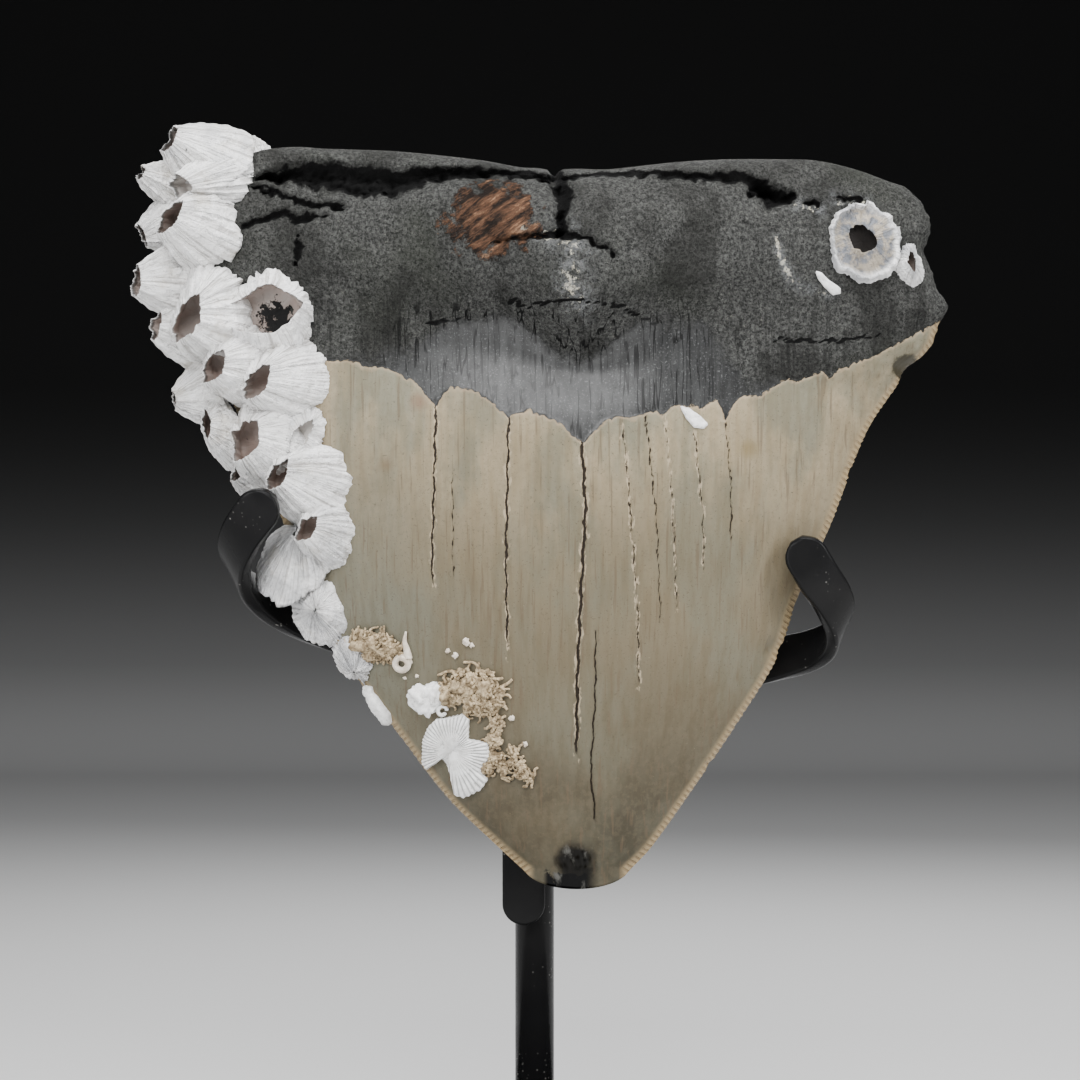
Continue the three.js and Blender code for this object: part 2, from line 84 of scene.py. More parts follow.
for name, (place, aim, size, watts) in LIGHTS.items():
    light = bpy.data.lights.new(name, "AREA")
    light.shape = "RECTANGLE"
    light.size, light.size_y = size
    light.energy = watts
    panel = link_object(name, light)
    panel.location = place
    panel.rotation_euler = (Vector(aim) - Vector(place)).to_track_quat("-Z", "Y").to_euler()

world = bpy.data.worlds.new("studio")
bpy.context.scene.world = world
world.use_nodes = True
world.node_tree.nodes["Background"].inputs["Color"].default_value = (0.8, 0.82, 0.85, 1)
world.node_tree.nodes["Background"].inputs["Strength"].default_value = 0.07

card = bpy.data.materials.new("pale_card")
card.use_nodes = True
card_nodes, link_card = card.node_tree.nodes, card.node_tree.links.new
card_surface, card_height = card_nodes["Principled BSDF"], card_nodes.new("ShaderNodeSeparateXYZ")
card_surface.inputs["Roughness"].default_value = 0.9
card_tint = card_nodes.new("ShaderNodeValToRGB")
card_ramp = card_tint.color_ramp
card_ramp.interpolation = "B_SPLINE"
card_ramp.elements[1].position = CARD_STOPS[-1][0]
for position, _ in CARD_STOPS[1:-1]:
    card_ramp.elements.new(position)
for element, (_, grey) in zip(card_ramp.elements, CARD_STOPS):
    element.color = (grey, grey, grey, 1)
link_card(card_nodes.new("ShaderNodeTexCoord").outputs["Object"], card_height.inputs[0])
link_card(card_height.outputs["Z"], card_tint.inputs["Fac"])
link_card(card_tint.outputs["Color"], card_surface.inputs["Base Color"])

sweep_mesh = bmesh.new()
bmesh.ops.create_grid(sweep_mesh, x_segments=1, y_segments=160, size=1)
for vertex in sweep_mesh.verts:
    along = (vertex.co.y + 1) / 2
    flat = min(along / 0.5, 1)
    bend = min(max((along - 0.5) / 0.3, 0), 1) * math.pi / 2
    rise = max((along - 0.8) / 0.2, 0) * SWEEP_WALL
    y = SWEEP_FRONT + flat * (SWEEP_BEND - SWEEP_FRONT) + SWEEP_RADIUS * math.sin(bend)
    vertex.co = (vertex.co.x * SWEEP_HALF_WIDTH, y, SWEEP_RADIUS * (1 - math.cos(bend)) + rise)
smooth_object("floor", sweep_mesh, card)


# Base: a plain turned disc of black coated steel, which carries the rod. Its edges are broken by a small
# chamfer, and it stands flat on its underside. The coat has a fine orange peel and some dust on it.
BASE_RADIUS, BASE_HEIGHT, BASE_EDGE = 48, 8, 1


class Value:
    """A number, colour or place in a material's node tree. It adds and multiplies like a number."""

    def __init__(self, tree, socket):
        self.tree, self.socket = tree, socket

    def maths(self, operation, other=0.0, clamp=False):
        return add_node(self.tree, "Math", {0: self, 1: other}, operation=operation, use_clamp=clamp)

    def __add__(self, other):
        return self.maths("ADD", other)

    def __sub__(self, other):
        return self.maths("SUBTRACT", other)

    def __mul__(self, other):
        return self.maths("MULTIPLY", other)

    def between(self, low, high, at_low=0.0, at_high=1.0):
        """Goes softly from at_low to at_high while this value goes from low to high."""
        return add_node(self.tree, "MapRange", {0: self, 1: low, 2: high, 3: at_low, 4: at_high},
                        interpolation_type="SMOOTHSTEP")

    def pick(self, a, b):
        """The number a where this value is 0 and b where it is 1."""
        return add_node(self.tree, "Mix", {0: self, 2: a, 3: b})

    def colours(self, a, b, blend="MIX"):
        """The colour a where this value is 0 and b where it is 1."""
        return add_node(self.tree, "Mix", {0: self, 6: a, 7: b}, 2, data_type="RGBA", blend_type=blend)

    def under(self, *coats):
        """This colour under coats of others, each with its share."""
        tint = self
        for share, colour in coats:
            tint = share.colours(tint, colour)
        return tint

    def part(self, axis):
        return add_node(self.tree, "SeparateXYZ", {0: self}, axis)

    def moved(self, x, y, z):
        """This place, measured from the given point."""
        return add_node(self.tree, "VectorMath", {0: self, 1: (x, y, z)}, operation="SUBTRACT")

    def stretched(self, x, y, z):
        return add_node(self.tree, "VectorMath", {0: self, 1: (x, y, z)}, operation="MULTIPLY")

    def length(self):
        return add_node(self.tree, "VectorMath", {0: self}, "Value", operation="LENGTH")

    def noise(self, scale, detail=3.0, roughness=0.5):
        return add_node(self.tree, "TexNoise", {
            "Vector": self, "Scale": scale, "Detail": detail, "Roughness": roughness}, "Fac")

    def layer(self, name, output="Fac"):
        """The mesh's own layer of that name."""
        return add_node(self.tree, "Attribute", {}, output, attribute_name=name)

    def bump(self, strength, distance):
        return add_node(self.tree, "Bump", {"Height": self, "Strength": strength, "Distance": distance})

    def to(self, node, name):
        self.tree.links.new(self.socket, node.inputs[name])


def add_node(tree, kind, inputs, output=0, **settings):
    """Adds a shader node fed by constants and by other nodes' values, and gives one of its outputs."""
    made = tree.nodes.new("ShaderNode" + kind)
    for key, setting in settings.items():
        setattr(made, key, setting)
    for key, given in inputs.items():
        if isinstance(given, Value):
            given.to(made, key)
        elif made.inputs[key].type == "RGBA":
            made.inputs[key].default_value = (*given, 1)
        else:
            made.inputs[key].default_value = given
    return Value(tree, made.outputs[output])


def new_material(name, roughness=0.5):
    material = bpy.data.materials.new(name)
    material.use_nodes = True
    surface = material.node_tree.nodes["Principled BSDF"]
    surface.inputs["Roughness"].default_value = roughness
    return material, surface, add_node(material.node_tree, "TexCoord", {}, "Object")


def make_dust_group():
    """Dust: sparse soft grains and a thin uneven film, as a mask."""
    group = bpy.data.node_groups.new("dust", "ShaderNodeTree")
    group.interface.new_socket("Vector", in_out="INPUT", socket_type="NodeSocketVector")
    group.interface.new_socket("Grains", in_out="INPUT", socket_type="NodeSocketFloat")
    group.interface.new_socket("Film", in_out="INPUT", socket_type="NodeSocketFloat")
    group.interface.new_socket("Mask", in_out="OUTPUT", socket_type="NodeSocketFloat")
    given = group.nodes.new("NodeGroupInput").outputs
    place, grains, film = (Value(group, given[label]) for label in ("Vector", "Grains", "Film"))
    near = add_node(group, "TexVoronoi", {"Vector": place, "Scale": 900.0}, "Distance")
    specks = near.between(0.05, 0.22, 1.0, 0.0) * place.noise(160.0).between(0.5, 0.66) * grains
    film = place.noise(60.0, 6.0).between(0.4, 0.75) * film
    specks.maths("ADD", film, clamp=True).to(group.nodes.new("NodeGroupOutput"), "Mask")
    return group


def make_black_coat():
    material, surface, place = new_material("black_coat")
    dust = add_node(place.tree, "Group", {"Vector": place, "Grains": 0.5, "Film": 0.02},
                    node_tree=make_dust_group())
    coat = place.noise(90.0, 4.0).colours((0.006, 0.006, 0.0063), (0.0085, 0.0085, 0.0088))
    coat.under((dust, (0.3, 0.29, 0.27))).to(surface, "Base Color")
    rough = place.noise(240.0, 5.0).between(0.3, 0.7, 0.2, 0.26)
    rough.maths("ADD", dust * 0.5, clamp=True).to(surface, "Roughness")
    surface.inputs["Specular IOR Level"].default_value = 0.07
    place.noise(1500.0, 2.0).bump(0.12, 0.0002).to(surface, "Normal")
    return material


def finished_piece(mesh, name, material, node_name=None):
    """Turns a mesh in millimetres into a piece that rides on the part and stands in for one of its nodes."""
    bmesh.ops.recalc_face_normals(mesh, faces=mesh.faces)
    bmesh.ops.scale(mesh, verts=mesh.verts, vec=(MM, MM, MM))
    piece = smooth_object(name, mesh, material)
    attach(piece, "root")
    if node_name:
        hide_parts(node_name)


def round_edges(mesh, edges, offset, segments):
    bmesh.ops.bevel(mesh, geom=edges, offset=offset, segments=segments, profile=0.5, affect="EDGES",
                    material=-1)


def level_edges(mesh, axis):
    """The edges that stay at one place along an axis."""
    return [edge for edge in mesh.edges if abs(edge.verts[0].co[axis] - edge.verts[1].co[axis]) < 1e-6]


def add_bar(mesh, radius, height, segments):
    bmesh.ops.create_cone(mesh, cap_ends=True, segments=segments, radius1=radius, radius2=radius,
                          depth=height)


black_coat = make_black_coat()
base_mesh = bmesh.new()
add_bar(base_mesh, BASE_RADIUS, BASE_HEIGHT, 160)
round_edges(base_mesh, level_edges(base_mesh, 2), BASE_EDGE, 4)
bmesh.ops.translate(base_mesh, verts=base_mesh.verts, vec=(0, 0, BASE_HEIGHT / 2))
finished_piece(base_mesh, "base_disc", black_coat, "base")


# Rod: a straight round bar of the same steel, welded into the base and sawn off flat behind the tooth. A
# low ring of weld, drawn up in three steps, closes its foot.
ROD_RADIUS, ROD_EDGE, ROD_Y = 3.6, 0.5, 12
TIP_HEIGHT = 66
ROD_TOP = TIP_HEIGHT + 58
WELD_REACH, WELD_INSET, WELD_SINK, WELD_LUMPS = 1.3, 0.3, 0.2, 0.12
WELD_STEPS = ((0.8, 0.35), (0.35, 0.75), (0.0, 1.1))
rod_mesh = bmesh.new()
add_bar(rod_mesh, ROD_RADIUS, ROD_TOP - BASE_HEIGHT, 64)
round_edges(rod_mesh, [e for e in level_edges(rod_mesh, 2) if e.verts[0].co.z > 0], ROD_EDGE, 3)
bmesh.ops.translate(rod_mesh, verts=rod_mesh.verts, vec=(0, ROD_Y, (ROD_TOP + BASE_HEIGHT) / 2))
foot = bmesh.ops.create_circle(rod_mesh, segments=64, radius=ROD_RADIUS + WELD_REACH)["verts"]
bmesh.ops.translate(rod_mesh, verts=foot, vec=(0, ROD_Y, BASE_HEIGHT - WELD_SINK))
ring = [e for e in rod_mesh.edges if e.is_wire]
for share, rise in WELD_STEPS:
    grown = bmesh.ops.extrude_edge_only(rod_mesh, edges=ring)["geom"]
    ring = [g for g in grown if isinstance(g, bmesh.types.BMEdge)]
    for vertex in [g for g in grown if isinstance(g, bmesh.types.BMVert)]:
        out = Vector((vertex.co.x, vertex.co.y - ROD_Y))
        reach = (WELD_REACH + WELD_INSET) * share + WELD_LUMPS * noise.noise(vertex.co * 1.3)
        out = out.normalized() * (ROD_RADIUS - WELD_INSET + reach)
        vertex.co = (out.x, out.y + ROD_Y, BASE_HEIGHT - WELD_SINK + rise)
finished_piece(rod_mesh, "rod_bar", black_coat, "rod")


# Back strap: a short flat bar with round ends and softly worn edges, fixed upright on the front of the rod.
# It is what the two hooks are welded to, and its lower end shows under the tooth's tip.
STRAP_WIDTH, STRAP_THICKNESS, STRAP_EDGE, STRAP_GAP = 7.8, 2.6, 0.55, 0.3
STRAP_X = -2
STRAP_Y = ROD_Y - ROD_RADIUS - STRAP_GAP - STRAP_THICKNESS / 2
STRAP_TOP, STRAP_BOTTOM = TIP_HEIGHT + 62, TIP_HEIGHT - 7.8
strap_mesh = bmesh.new()
bmesh.ops.create_circle(strap_mesh, cap_ends=True, segments=48, radius=STRAP_WIDTH / 2)
for vertex in strap_mesh.verts:
    middle = STRAP_TOP - STRAP_WIDTH / 2 if vertex.co.y > 0 else STRAP_BOTTOM + STRAP_WIDTH / 2
    vertex.co = (vertex.co.x + STRAP_X, STRAP_Y - STRAP_THICKNESS / 2, vertex.co.y + middle)
grown = bmesh.ops.extrude_face_region(strap_mesh, geom=strap_mesh.faces[:])["geom"]
bmesh.ops.translate(strap_mesh, verts=[g for g in grown if isinstance(g, bmesh.types.BMVert)],
                    vec=(0, STRAP_THICKNESS, 0))
round_edges(strap_mesh, level_edges(strap_mesh, 1), STRAP_EDGE, 4)
finished_piece(strap_mesh, "strap_bar", black_coat, "back_strap")


# Hooks: two flat bars of the same steel, bent by hand round the tooth's edges and welded behind it to the
# strap. Each holds one edge of the crown by its rounded tip, and its long edges are softly worn.
HOOK_STEPS, HOOK_EDGE, HOOK_TIP = 110, 0.7, 1.2
# Each path is in mm right of the tooth's tip, forward of the strap and above the tip. With it comes the core
# that the bar bends round: a point of it and the way it runs.
HOOKS = {
    "right": ([
        (2.2, 0, 34.2), (16, 0, 35.6), (30, 0, 37.9), (44.7, 0, 41), (50.6, 1.6, 42.6), (54, 5.5, 44.8),
        (55, 10.5, 48), (53.4, 14.6, 52), (50.3, 16.8, 56.6), (46.6, 17.2, 63)],
        (46, 8, 52), (0.43, 0, 0.9)),
    "left": ([
        (-6.2, 0, 38.6), (-22, 0, 41.8), (-34, 0, 45.4), (-43, 1, 48.6), (-49, 4, 51.8), (-52.8, 9, 55.4),
        (-53.6, 14.6, 59.4), (-52, 19.6, 63.4), (-49.4, 22.6, 67), (-46.4, 24, 71)],
        (-43, 9, 60), (-0.43, 0, 0.9)),
}


def soft_step(low, high, values):
    s = np.clip((values - low) / (high - low), 0, 1)
    return s * s * (3 - 2 * s)


def rolled_sheet(mesh, around, along, shape, layers=()):
    """Rolls a flat grid up into a closed tube. shape takes the shares round and along it as arrays and gives
    its points, with the layers' numbers after them; both ends are closed with a fan."""
    made = bmesh.ops.create_grid(mesh, x_segments=around, y_segments=along, size=1)["verts"]
    flat = np.array([vertex.co for vertex in made])
    turn, share = np.mod((flat[:, 0] + 1) / 2, 1.0), (flat[:, 1] + 1) / 2
    points, *numbers = shape(turn, share)
    for vertex, point in zip(made, points):
        vertex.co = point
    for layer, row in zip(layers, numbers):
        for vertex, number in zip(made, row):
            vertex[layer] = number
    seam = [vertex for vertex, across in zip(made, flat[:, 0]) if abs(across) > 0.9999]
    bmesh.ops.remove_doubles(mesh, verts=seam, dist=1e-5)
    open_edges = [e for v in made if v.is_valid for e in v.link_edges if e.is_boundary]
    caps = bmesh.ops.holes_fill(mesh, edges=list(set(open_edges)))["faces"]
    bmesh.ops.poke(mesh, faces=caps)


def curve_through(points, steps):
    """Evenly spaced points along a smooth curve through given points, with its length."""
    rows = np.array(points, float)
    rows = np.vstack([2 * rows[0] - rows[1], rows, 2 * rows[-1] - rows[-2]])
    line = []
    for p0, p1, p2, p3 in zip(rows, rows[1:], rows[2:], rows[3:]):
        t1, t2, t3 = np.cumsum([np.linalg.norm(b - a) ** 0.5 for a, b in ((p0, p1), (p1, p2), (p2, p3))])
        t = np.linspace(t1, t2, 24, endpoint=False)[:, None]
        a1 = (p0 * (t1 - t) + p1 * t) / t1
        a2 = (p1 * (t2 - t) + p2 * (t - t1)) / (t2 - t1)
        a3 = (p2 * (t3 - t) + p3 * (t - t2)) / (t3 - t2)
        b1, b2 = (a1 * (t2 - t) + a2 * t) / t2, (a2 * (t3 - t) + a3 * (t - t1)) / (t3 - t1)
        line.extend((b1 * (t2 - t) + b2 * (t - t1)) / (t2 - t1))
    line = np.array(line + [rows[-2]])
    gone = np.concatenate([[0], np.cumsum(np.linalg.norm(np.diff(line, axis=0), axis=1))])
    even = np.linspace(0, gone[-1], steps + 1)
    return np.column_stack([np.interp(even, gone, line[:, k]) for k in range(3)]), gone[-1]


def in_front_of_strap(x, forward, z):
    return Vector((x, STRAP_Y - forward, TIP_HEIGHT + z))


def make_hook(side):
    path, core, edge = HOOKS[side]
    middles, length = curve_through([in_front_of_strap(*point) for point in path], HOOK_STEPS)
    core, edge = in_front_of_strap(*core), Vector(edge).normalized()
    frames = []
    for step in range(HOOK_STEPS + 1):
        along = step / HOOK_STEPS
        tangent = Vector(middles[min(step + 1, HOOK_STEPS)] - middles[max(step - 1, 0)]).normalized()
        middle = Vector(middles[step])
        away = middle - core
        away = (away - edge * away.dot(edge)).normalized()
        away = Vector((0, 1, 0)).lerp(away, soft_step(0.0, 0.5, along))
        away = (away - tangent * away.dot(tangent)).normalized()
        short = min(max(1 - (1 - along) * length / (STRAP_WIDTH / 2), 0), 1)
        half = max(STRAP_WIDTH / 2 * math.sqrt(1 - short * short), HOOK_TIP)
        frames.append((middle, away.cross(tangent), away, half))
    corners = [(sx, sy, math.radians(90 * turn + bend)) for turn, (sx, sy) in
               enumerate(((1, 1), (-1, 1), (-1, -1), (1, -1))) for bend in (0, 22.5, 45, 67.5, 90)]

    def shape(turn, share):
        points = []
        for a, b in zip(np.rint(turn * len(corners)).astype(int), np.rint(share * HOOK_STEPS).astype(int)):
            middle, wide, away, half = frames[b]
            sx, sy, bend = corners[a]
            across = sx * (half - HOOK_EDGE) + HOOK_EDGE * math.cos(bend)
            through = sy * (STRAP_THICKNESS / 2 - HOOK_EDGE) + HOOK_EDGE * math.sin(bend)
            points.append(middle + wide * across + away * through)
        return (points,)

    mesh = bmesh.new()
    rolled_sheet(mesh, len(corners), HOOK_STEPS, shape)
    finished_piece(mesh, "hook_" + side, black_coat, "prong_" + side)


for side in HOOKS:
    make_hook(side)


# Fossil tooth: one grown piece, root up. The root is dark grainy bone with furrows and pits, the neck under
# it a smooth dark band, and the crown carries brown-grey enamel that ends in a chipped border. Two fine
# grids are drawn out to its outline, front and back, and joined round the cutting edge.
TOOTH_X, TOOTH_BACK_DEPTH = 8.7, 7.6
TOOTH_Y = STRAP_Y - STRAP_THICKNESS / 2 - STRAP_GAP - TOOTH_BACK_DEPTH
LOW_ROW, HIGH_ROW = 4, 127
# Places on the tooth are in mm, right of its tip and above it. The side edges give the height first.
LEFT_EDGE = [
    (4, -10.6), (8, -15.4), (16, -24), (27, -32.6), (35, -38.6), (43, -44), (56, -50.4),
    (74, -57), (90, -64.3), (100, -69), (107, -70.3), (115, -72), (122, -72), (127, -69.5)]
RIGHT_EDGE = [
    (4, 8.5), (8, 12.6), (17, 19.2), (30, 28), (42, 35.3), (52, 38.6), (66, 44.9), (82, 51.1), (91, 57),
    (98, 62.9), (101.6, 64.1), (104.6, 65.8), (108, 63.9), (112, 62.6), (114.8, 61.5), (119, 62.7),
    (123, 61.4), (127, 58)]
TOP_EDGE = [
    (-70, 128), (-59, 132.8), (-51.7, 133.7), (-47, 133.4), (-35, 132.9), (-28.3, 132.3), (-18, 131),
    (-11.2, 129.7), (-6.4, 129.2), (-5.2, 127.9), (-4, 129.2), (4.3, 129.3), (11.4, 130.1), (17.6, 130.8),
    (25.6, 131.3), (35.2, 131.4), (41.9, 131.2), (49.1, 129.6), (55.7, 127.3), (58, 126.6)]
# Depth of the front and the back at each height, and of the swelling in the middle of the root
FRONT_DEPTH = [
    (0, 1.6), (5, 3.4), (15, 6.2), (30, 9.2), (50, 12), (70, 13.9), (78, 14.5), (84, 14.3), (90, 13.1),
    (96, 11.6), (101, 10.7), (106, 11.3), (111, 13.4), (133, 13)]
BACK_DEPTH = [(0, 1.2), (15, 3.6), (40, 6), (70, 7), (95, 6.4), (112, 7.5), (133, 6.5)]
BOSS = [(86, 0), (94, 0), (98, 0.6), (103, 3.4), (109, 7.2), (117, 7.8), (126, 4.5), (133, 2)]
ENAMEL_THICKNESS = 0.55
BORDER_FRONT = [
    (-75, 99), (-60, 96), (-44.9, 94.5), (-42.4, 94.7), (-39.7, 94.3), (-39, 93.3), (-36.8, 93.4),
    (-34, 93.1), (-31.7, 91.7), (-29, 89.9), (-27.1, 87.8), (-26, 86.2), (-25.3, 87.8), (-24.2, 89.4),
    (-21.9, 89.8), (-19.2, 89), (-16.6, 87.6), (-14.8, 85.6), (-13.2, 84.4), (-11.7, 85.1), (-9.4, 85.5),
    (-6.8, 84.6), (-4.1, 83.3), (-2, 81.2), (-0.4, 79.9), (1.2, 81.2), (4.1, 84), (6.6, 84.7), (8.5, 84),
    (11, 85.6), (12.8, 85.3), (13.9, 84.6), (15.1, 86.2), (16.9, 86.5), (21.2, 86.3), (23.5, 87.8),
    (25.1, 84), (27.3, 88.1), (31.3, 88.3), (33.5, 89.9), (35.8, 91.2), (38.6, 91.2), (42.5, 92.8),
    (43.6, 91.7), (45.7, 93.1), (49.8, 94.9), (52, 95.6), (56.7, 98.1), (63.9, 102), (70, 104)]
BORDER_BACK = [
    (-75, 99), (-64, 98), (-56, 95.6), (-50, 95.4), (-40, 92.6), (-30, 91.2), (-18, 88.8), (-6, 88.2),
    (2, 87.6), (12, 88.6), (22, 89.6), (30, 91), (40, 93), (48, 95.4), (58, 98.6), (70, 103)]
# Each crack: its line as (height, place), its width and how strong it is
ENAMEL_CRACKS = [
    ((80.3, -0.4), (68.2, 0.3), (52.2, -0.5), (38.6, -1.1), (22.3, -1.2), 0.27, 1.0),
    ((46.5, 2.1), (35.1, 2.1), (21.5, 1.3), (9.6, 2.5), 0.18, 0.75),
    ((87.4, -26), (72, -26.4), (59.5, -26.8), (52.2, -26.5), 0.21, 0.85),
    ((73.7, -23.1), (59.5, -23.1), (52.2, -22.8), 0.14, 0.58),
    ((84.6, -13.2), (59.5, -13.7), (40.6, -13.4), 0.2, 0.85),
    ((47.7, -8.9), (33.8, -8.9), 0.12, 0.3),
    ((83.1, 6.8), (72.1, 7.9), (49.5, 9.6), (33.8, 9.8), 0.2, 0.6),
    ((84.4, 10.9), (65.9, 12.9), (44.1, 13.8), 0.16, 0.62),
    ((84.4, 14.2), (72.1, 15.5), (47.2, 16.7), 0.14, 0.58),
    ((81.7, 19.5), (67.6, 21.1), (53.9, 21.4), 0.17, 0.62),
    ((85.8, 24.9), (72.1, 26.1), (59.5, 26.2), 0.18, 0.6),
    ((86.7, 30.2), (73.5, 30.9), 0.12, 0.3),
    ((93.3, -37.7), (73.3, -36.9), 0.1, 0.3),
    ((83.1, -42.9), (78, -42.6), 0.1, 0.25),
]
PALE_CRACKS = (0, 2, 4, 6, 8, 9)
# Each furrow: its line, its half width at shares of the way along, and its depth
FURROWS = [
    (((-58, 127.6), (-49.8, 127.8), (-46, 127.6), (-40, 126.4), (-34, 126), (-28, 127.4), (-22, 127.8),
      (-14, 127.7), (-5.4, 126.8)),
     ((0.0, 0.3), (0.2, 2.6), (0.35, 3.0), (0.6, 1.5), (0.8, 0.9), (1, 0.5)), 4.4),
    (((-58.6, 125.9), (-53.3, 123.7), (-48, 122.2), (-42.2, 121.8)), ((0, 0.3), (0.5, 0.8), (1, 0.3)), 1.6),
    (((-60.5, 118.6), (-53.4, 120.9), (-51, 119.6), (-45.7, 120.2)), ((0, 0.4), (0.5, 0.7), (1, 0.3)), 1.4),
    (((-51, 116.4), (-50.4, 114.4), (-50.8, 112)), ((0, 0.3), (0.5, 0.9), (1, 0.3)), 1.2),
    (((-5.2, 133), (-4.6, 127.4), (-3.4, 122.4), (-4.2, 116)), ((0, 0.9), (0.5, 1.55), (1, 0.8)), 3.6),
    (((-16, 114.4), (-10, 115.6), (-4.6, 115.8), (1.2, 114.8), (5.4, 112.6)),
     ((0, 0.3), (0.5, 0.8), (1, 0.4)), 1.6),
    (((-4, 126.6), (4, 127.6), (11.4, 127.6), (21, 127), (29.5, 126.6), (33, 124)),
     ((0, 0.3), (0.5, 0.7), (0.85, 1.1), (1, 1.4)), 2.4),
    (((30.4, 124.6), (33, 123.6), (36.7, 123.4)), ((0, 1.2), (0.5, 1.7), (1, 1.0)), 3.4),
    (((39.6, 122.6), (41.4, 122.2)), ((0, 0.6), (1, 0.6)), 1.6),
    (((45, 123.4), (49.2, 123.2)), ((0, 0.4), (1, 0.6)), 1.2),
    (((-29, 100.9), (-26, 101.5), (-23.1, 101.6), (-21.2, 102.4)), ((0, 0.15), (0.5, 0.3), (1, 0.15)), 0.4),
    (((-14.2, 104.5), (-9.3, 103.9), (-3.4, 104.5), (3.4, 104.1), (8.4, 102.9), (11.3, 101.5), (14.2, 99.5),
      (17.6, 97.5)), ((0, 0.1), (0.3, 0.3), (0.6, 0.25), (1, 0.1)), 0.45),
    (((33.9, 98.4), (42.7, 98), (53.6, 99.5)), ((0, 0.12), (0.5, 0.22), (1, 0.12)), 0.25),
]
# Pale grains in the bone lie along these lines, each with its half width and how thick they lie
PALE_GRAINS = [
    (((-11, 116.8), (-7, 115.4), (-5.6, 116)), 0.9, 2.0),
    (((-3.6, 116), (-1.6, 112), (-3, 106.4), (-0.6, 104.6)), 3.0, 1.1),
    (((33.9, 116.2), (34.6, 113.6), (35.8, 110.4), (37, 108.6)), 0.6, 1.7),
    (((38, 122), (42, 121.4)), 1.2, 1.3),
    (((45, 123.2), (50, 123)), 1.3, 1.2),
    (((36, 109), (39, 107.6), (44, 106.6)), 1.0, 1.0),
    (((-58, 99.6), (-57, 101)), 1.2, 1.0),
]
RUST_MIDDLE, RUST_REACH = (-16.2, 119.2), (8.2, 7.0)
# Chips in the right edge and stains in the enamel: place, height and size, and a stain's colour
EDGE_CHIPS = ((58.6, 93.8, 2.6), (34.4, 43.4, 1.8), (48, 75.4, 0.9), (23, 22.4, 0.8))
DARK_CHIP_SIZE = 2.5
ENAMEL_SPOTS = (
    (-29, 87.2, 0.9, (0.16, 0.095, 0.06)), (29.5, 79, 1.6, (0.16, 0.12, 0.055)),
    (-35, 76, 1.0, (0.13, 0.09, 0.05)))
SERRATION_PITCH, SERRATION_DEPTH = 1.0, 0.16
COLUMNS, ROWS, BACK_SHARE = 248, 300, 2
TOOTH_VALUES = (
    "from_border", "bony", "furrow", "crack", "pale_crack", "rust", "edge_way", "pale_bone", "chipped")


def smooth_curve(points, at):
    """Values of a smooth curve through [position, value] points, at an array of positions."""
    xs, ys = (np.array(part, float) for part in zip(*points))
    slopes = np.empty_like(ys)
    slopes[1:-1] = (ys[2:] - ys[:-2]) / (xs[2:] - xs[:-2])
    slopes[0], slopes[-1] = (ys[1] - ys[0]) / (xs[1] - xs[0]), (ys[-1] - ys[-2]) / (xs[-1] - xs[-2])
    k = np.clip(np.searchsorted(xs, at, side="right") - 1, 0, len(xs) - 2)
    width = xs[k + 1] - xs[k]
    s = np.clip((at - xs[k]) / width, 0, 1)
    blend = s * s * (3 - 2 * s)
    bend = s * (1 - s) * width * ((1 - s) * slopes[k] - s * slopes[k + 1])
    return ys[k] + (ys[k + 1] - ys[k]) * blend + bend


def eased_curve(points, at):
    """A smooth curve with its bends eased out over a few mm, so that no band of light shows them."""
    steps = np.arange(-12, 150, 0.25)
    weights = np.exp(-(np.arange(-36, 37) * 0.25 / 2.6) ** 2)
    eased = np.convolve(smooth_curve(points, np.clip(steps, points[0][0], points[-1][0])), weights, "same")
    return np.interp(at, steps, eased / weights.sum())


def rough(x, z, scale, octaves, seed, stretch=1.0):
    places = zip(x * scale, z * (scale * stretch))
    return np.array([noise.fractal((a, seed, b), 1.0, 2.0, octaves) for a, b in places])


def distance_to_line(x, z, line):
    """Distance to a broken line, and the share of the way along it, for arrays of points."""
    best = np.full(x.shape, 1e9)
    share = np.zeros(x.shape)
    spans = [math.dist(a, b) for a, b in zip(line, line[1:])]
    gone = 0.0
    for (ax, az), (bx, bz), span in zip(line, line[1:], spans):
        t = np.clip(((x - ax) * (bx - ax) + (z - az) * (bz - az)) / span ** 2, 0, 1)
        d = np.hypot(x - ax - t * (bx - ax), z - az - t * (bz - az))
        nearer = d < best
        best = np.where(nearer, d, best)
        share = np.where(nearer, (gone + t * span) / sum(spans), share)
        gone += span
    return best, share


def crack_offset(x, z, crack):
    """How far right of a crack each point is, and how open the crack is at its height."""
    *points, width, strength = crack
    heights, places = (np.array(part) for part in zip(*sorted(points)))
    middle = np.interp(z, heights, places) + 0.12 * np.sin(z * 1.1 + width * 50) + 0.06 * np.sin(z * 3.7)
    low, high = heights[0], heights[-1]
    open_share = soft_step(low - 1, low + 6, z) * (1 - soft_step(high, high + 0.8, z))
    return x - middle, open_share, width, strength


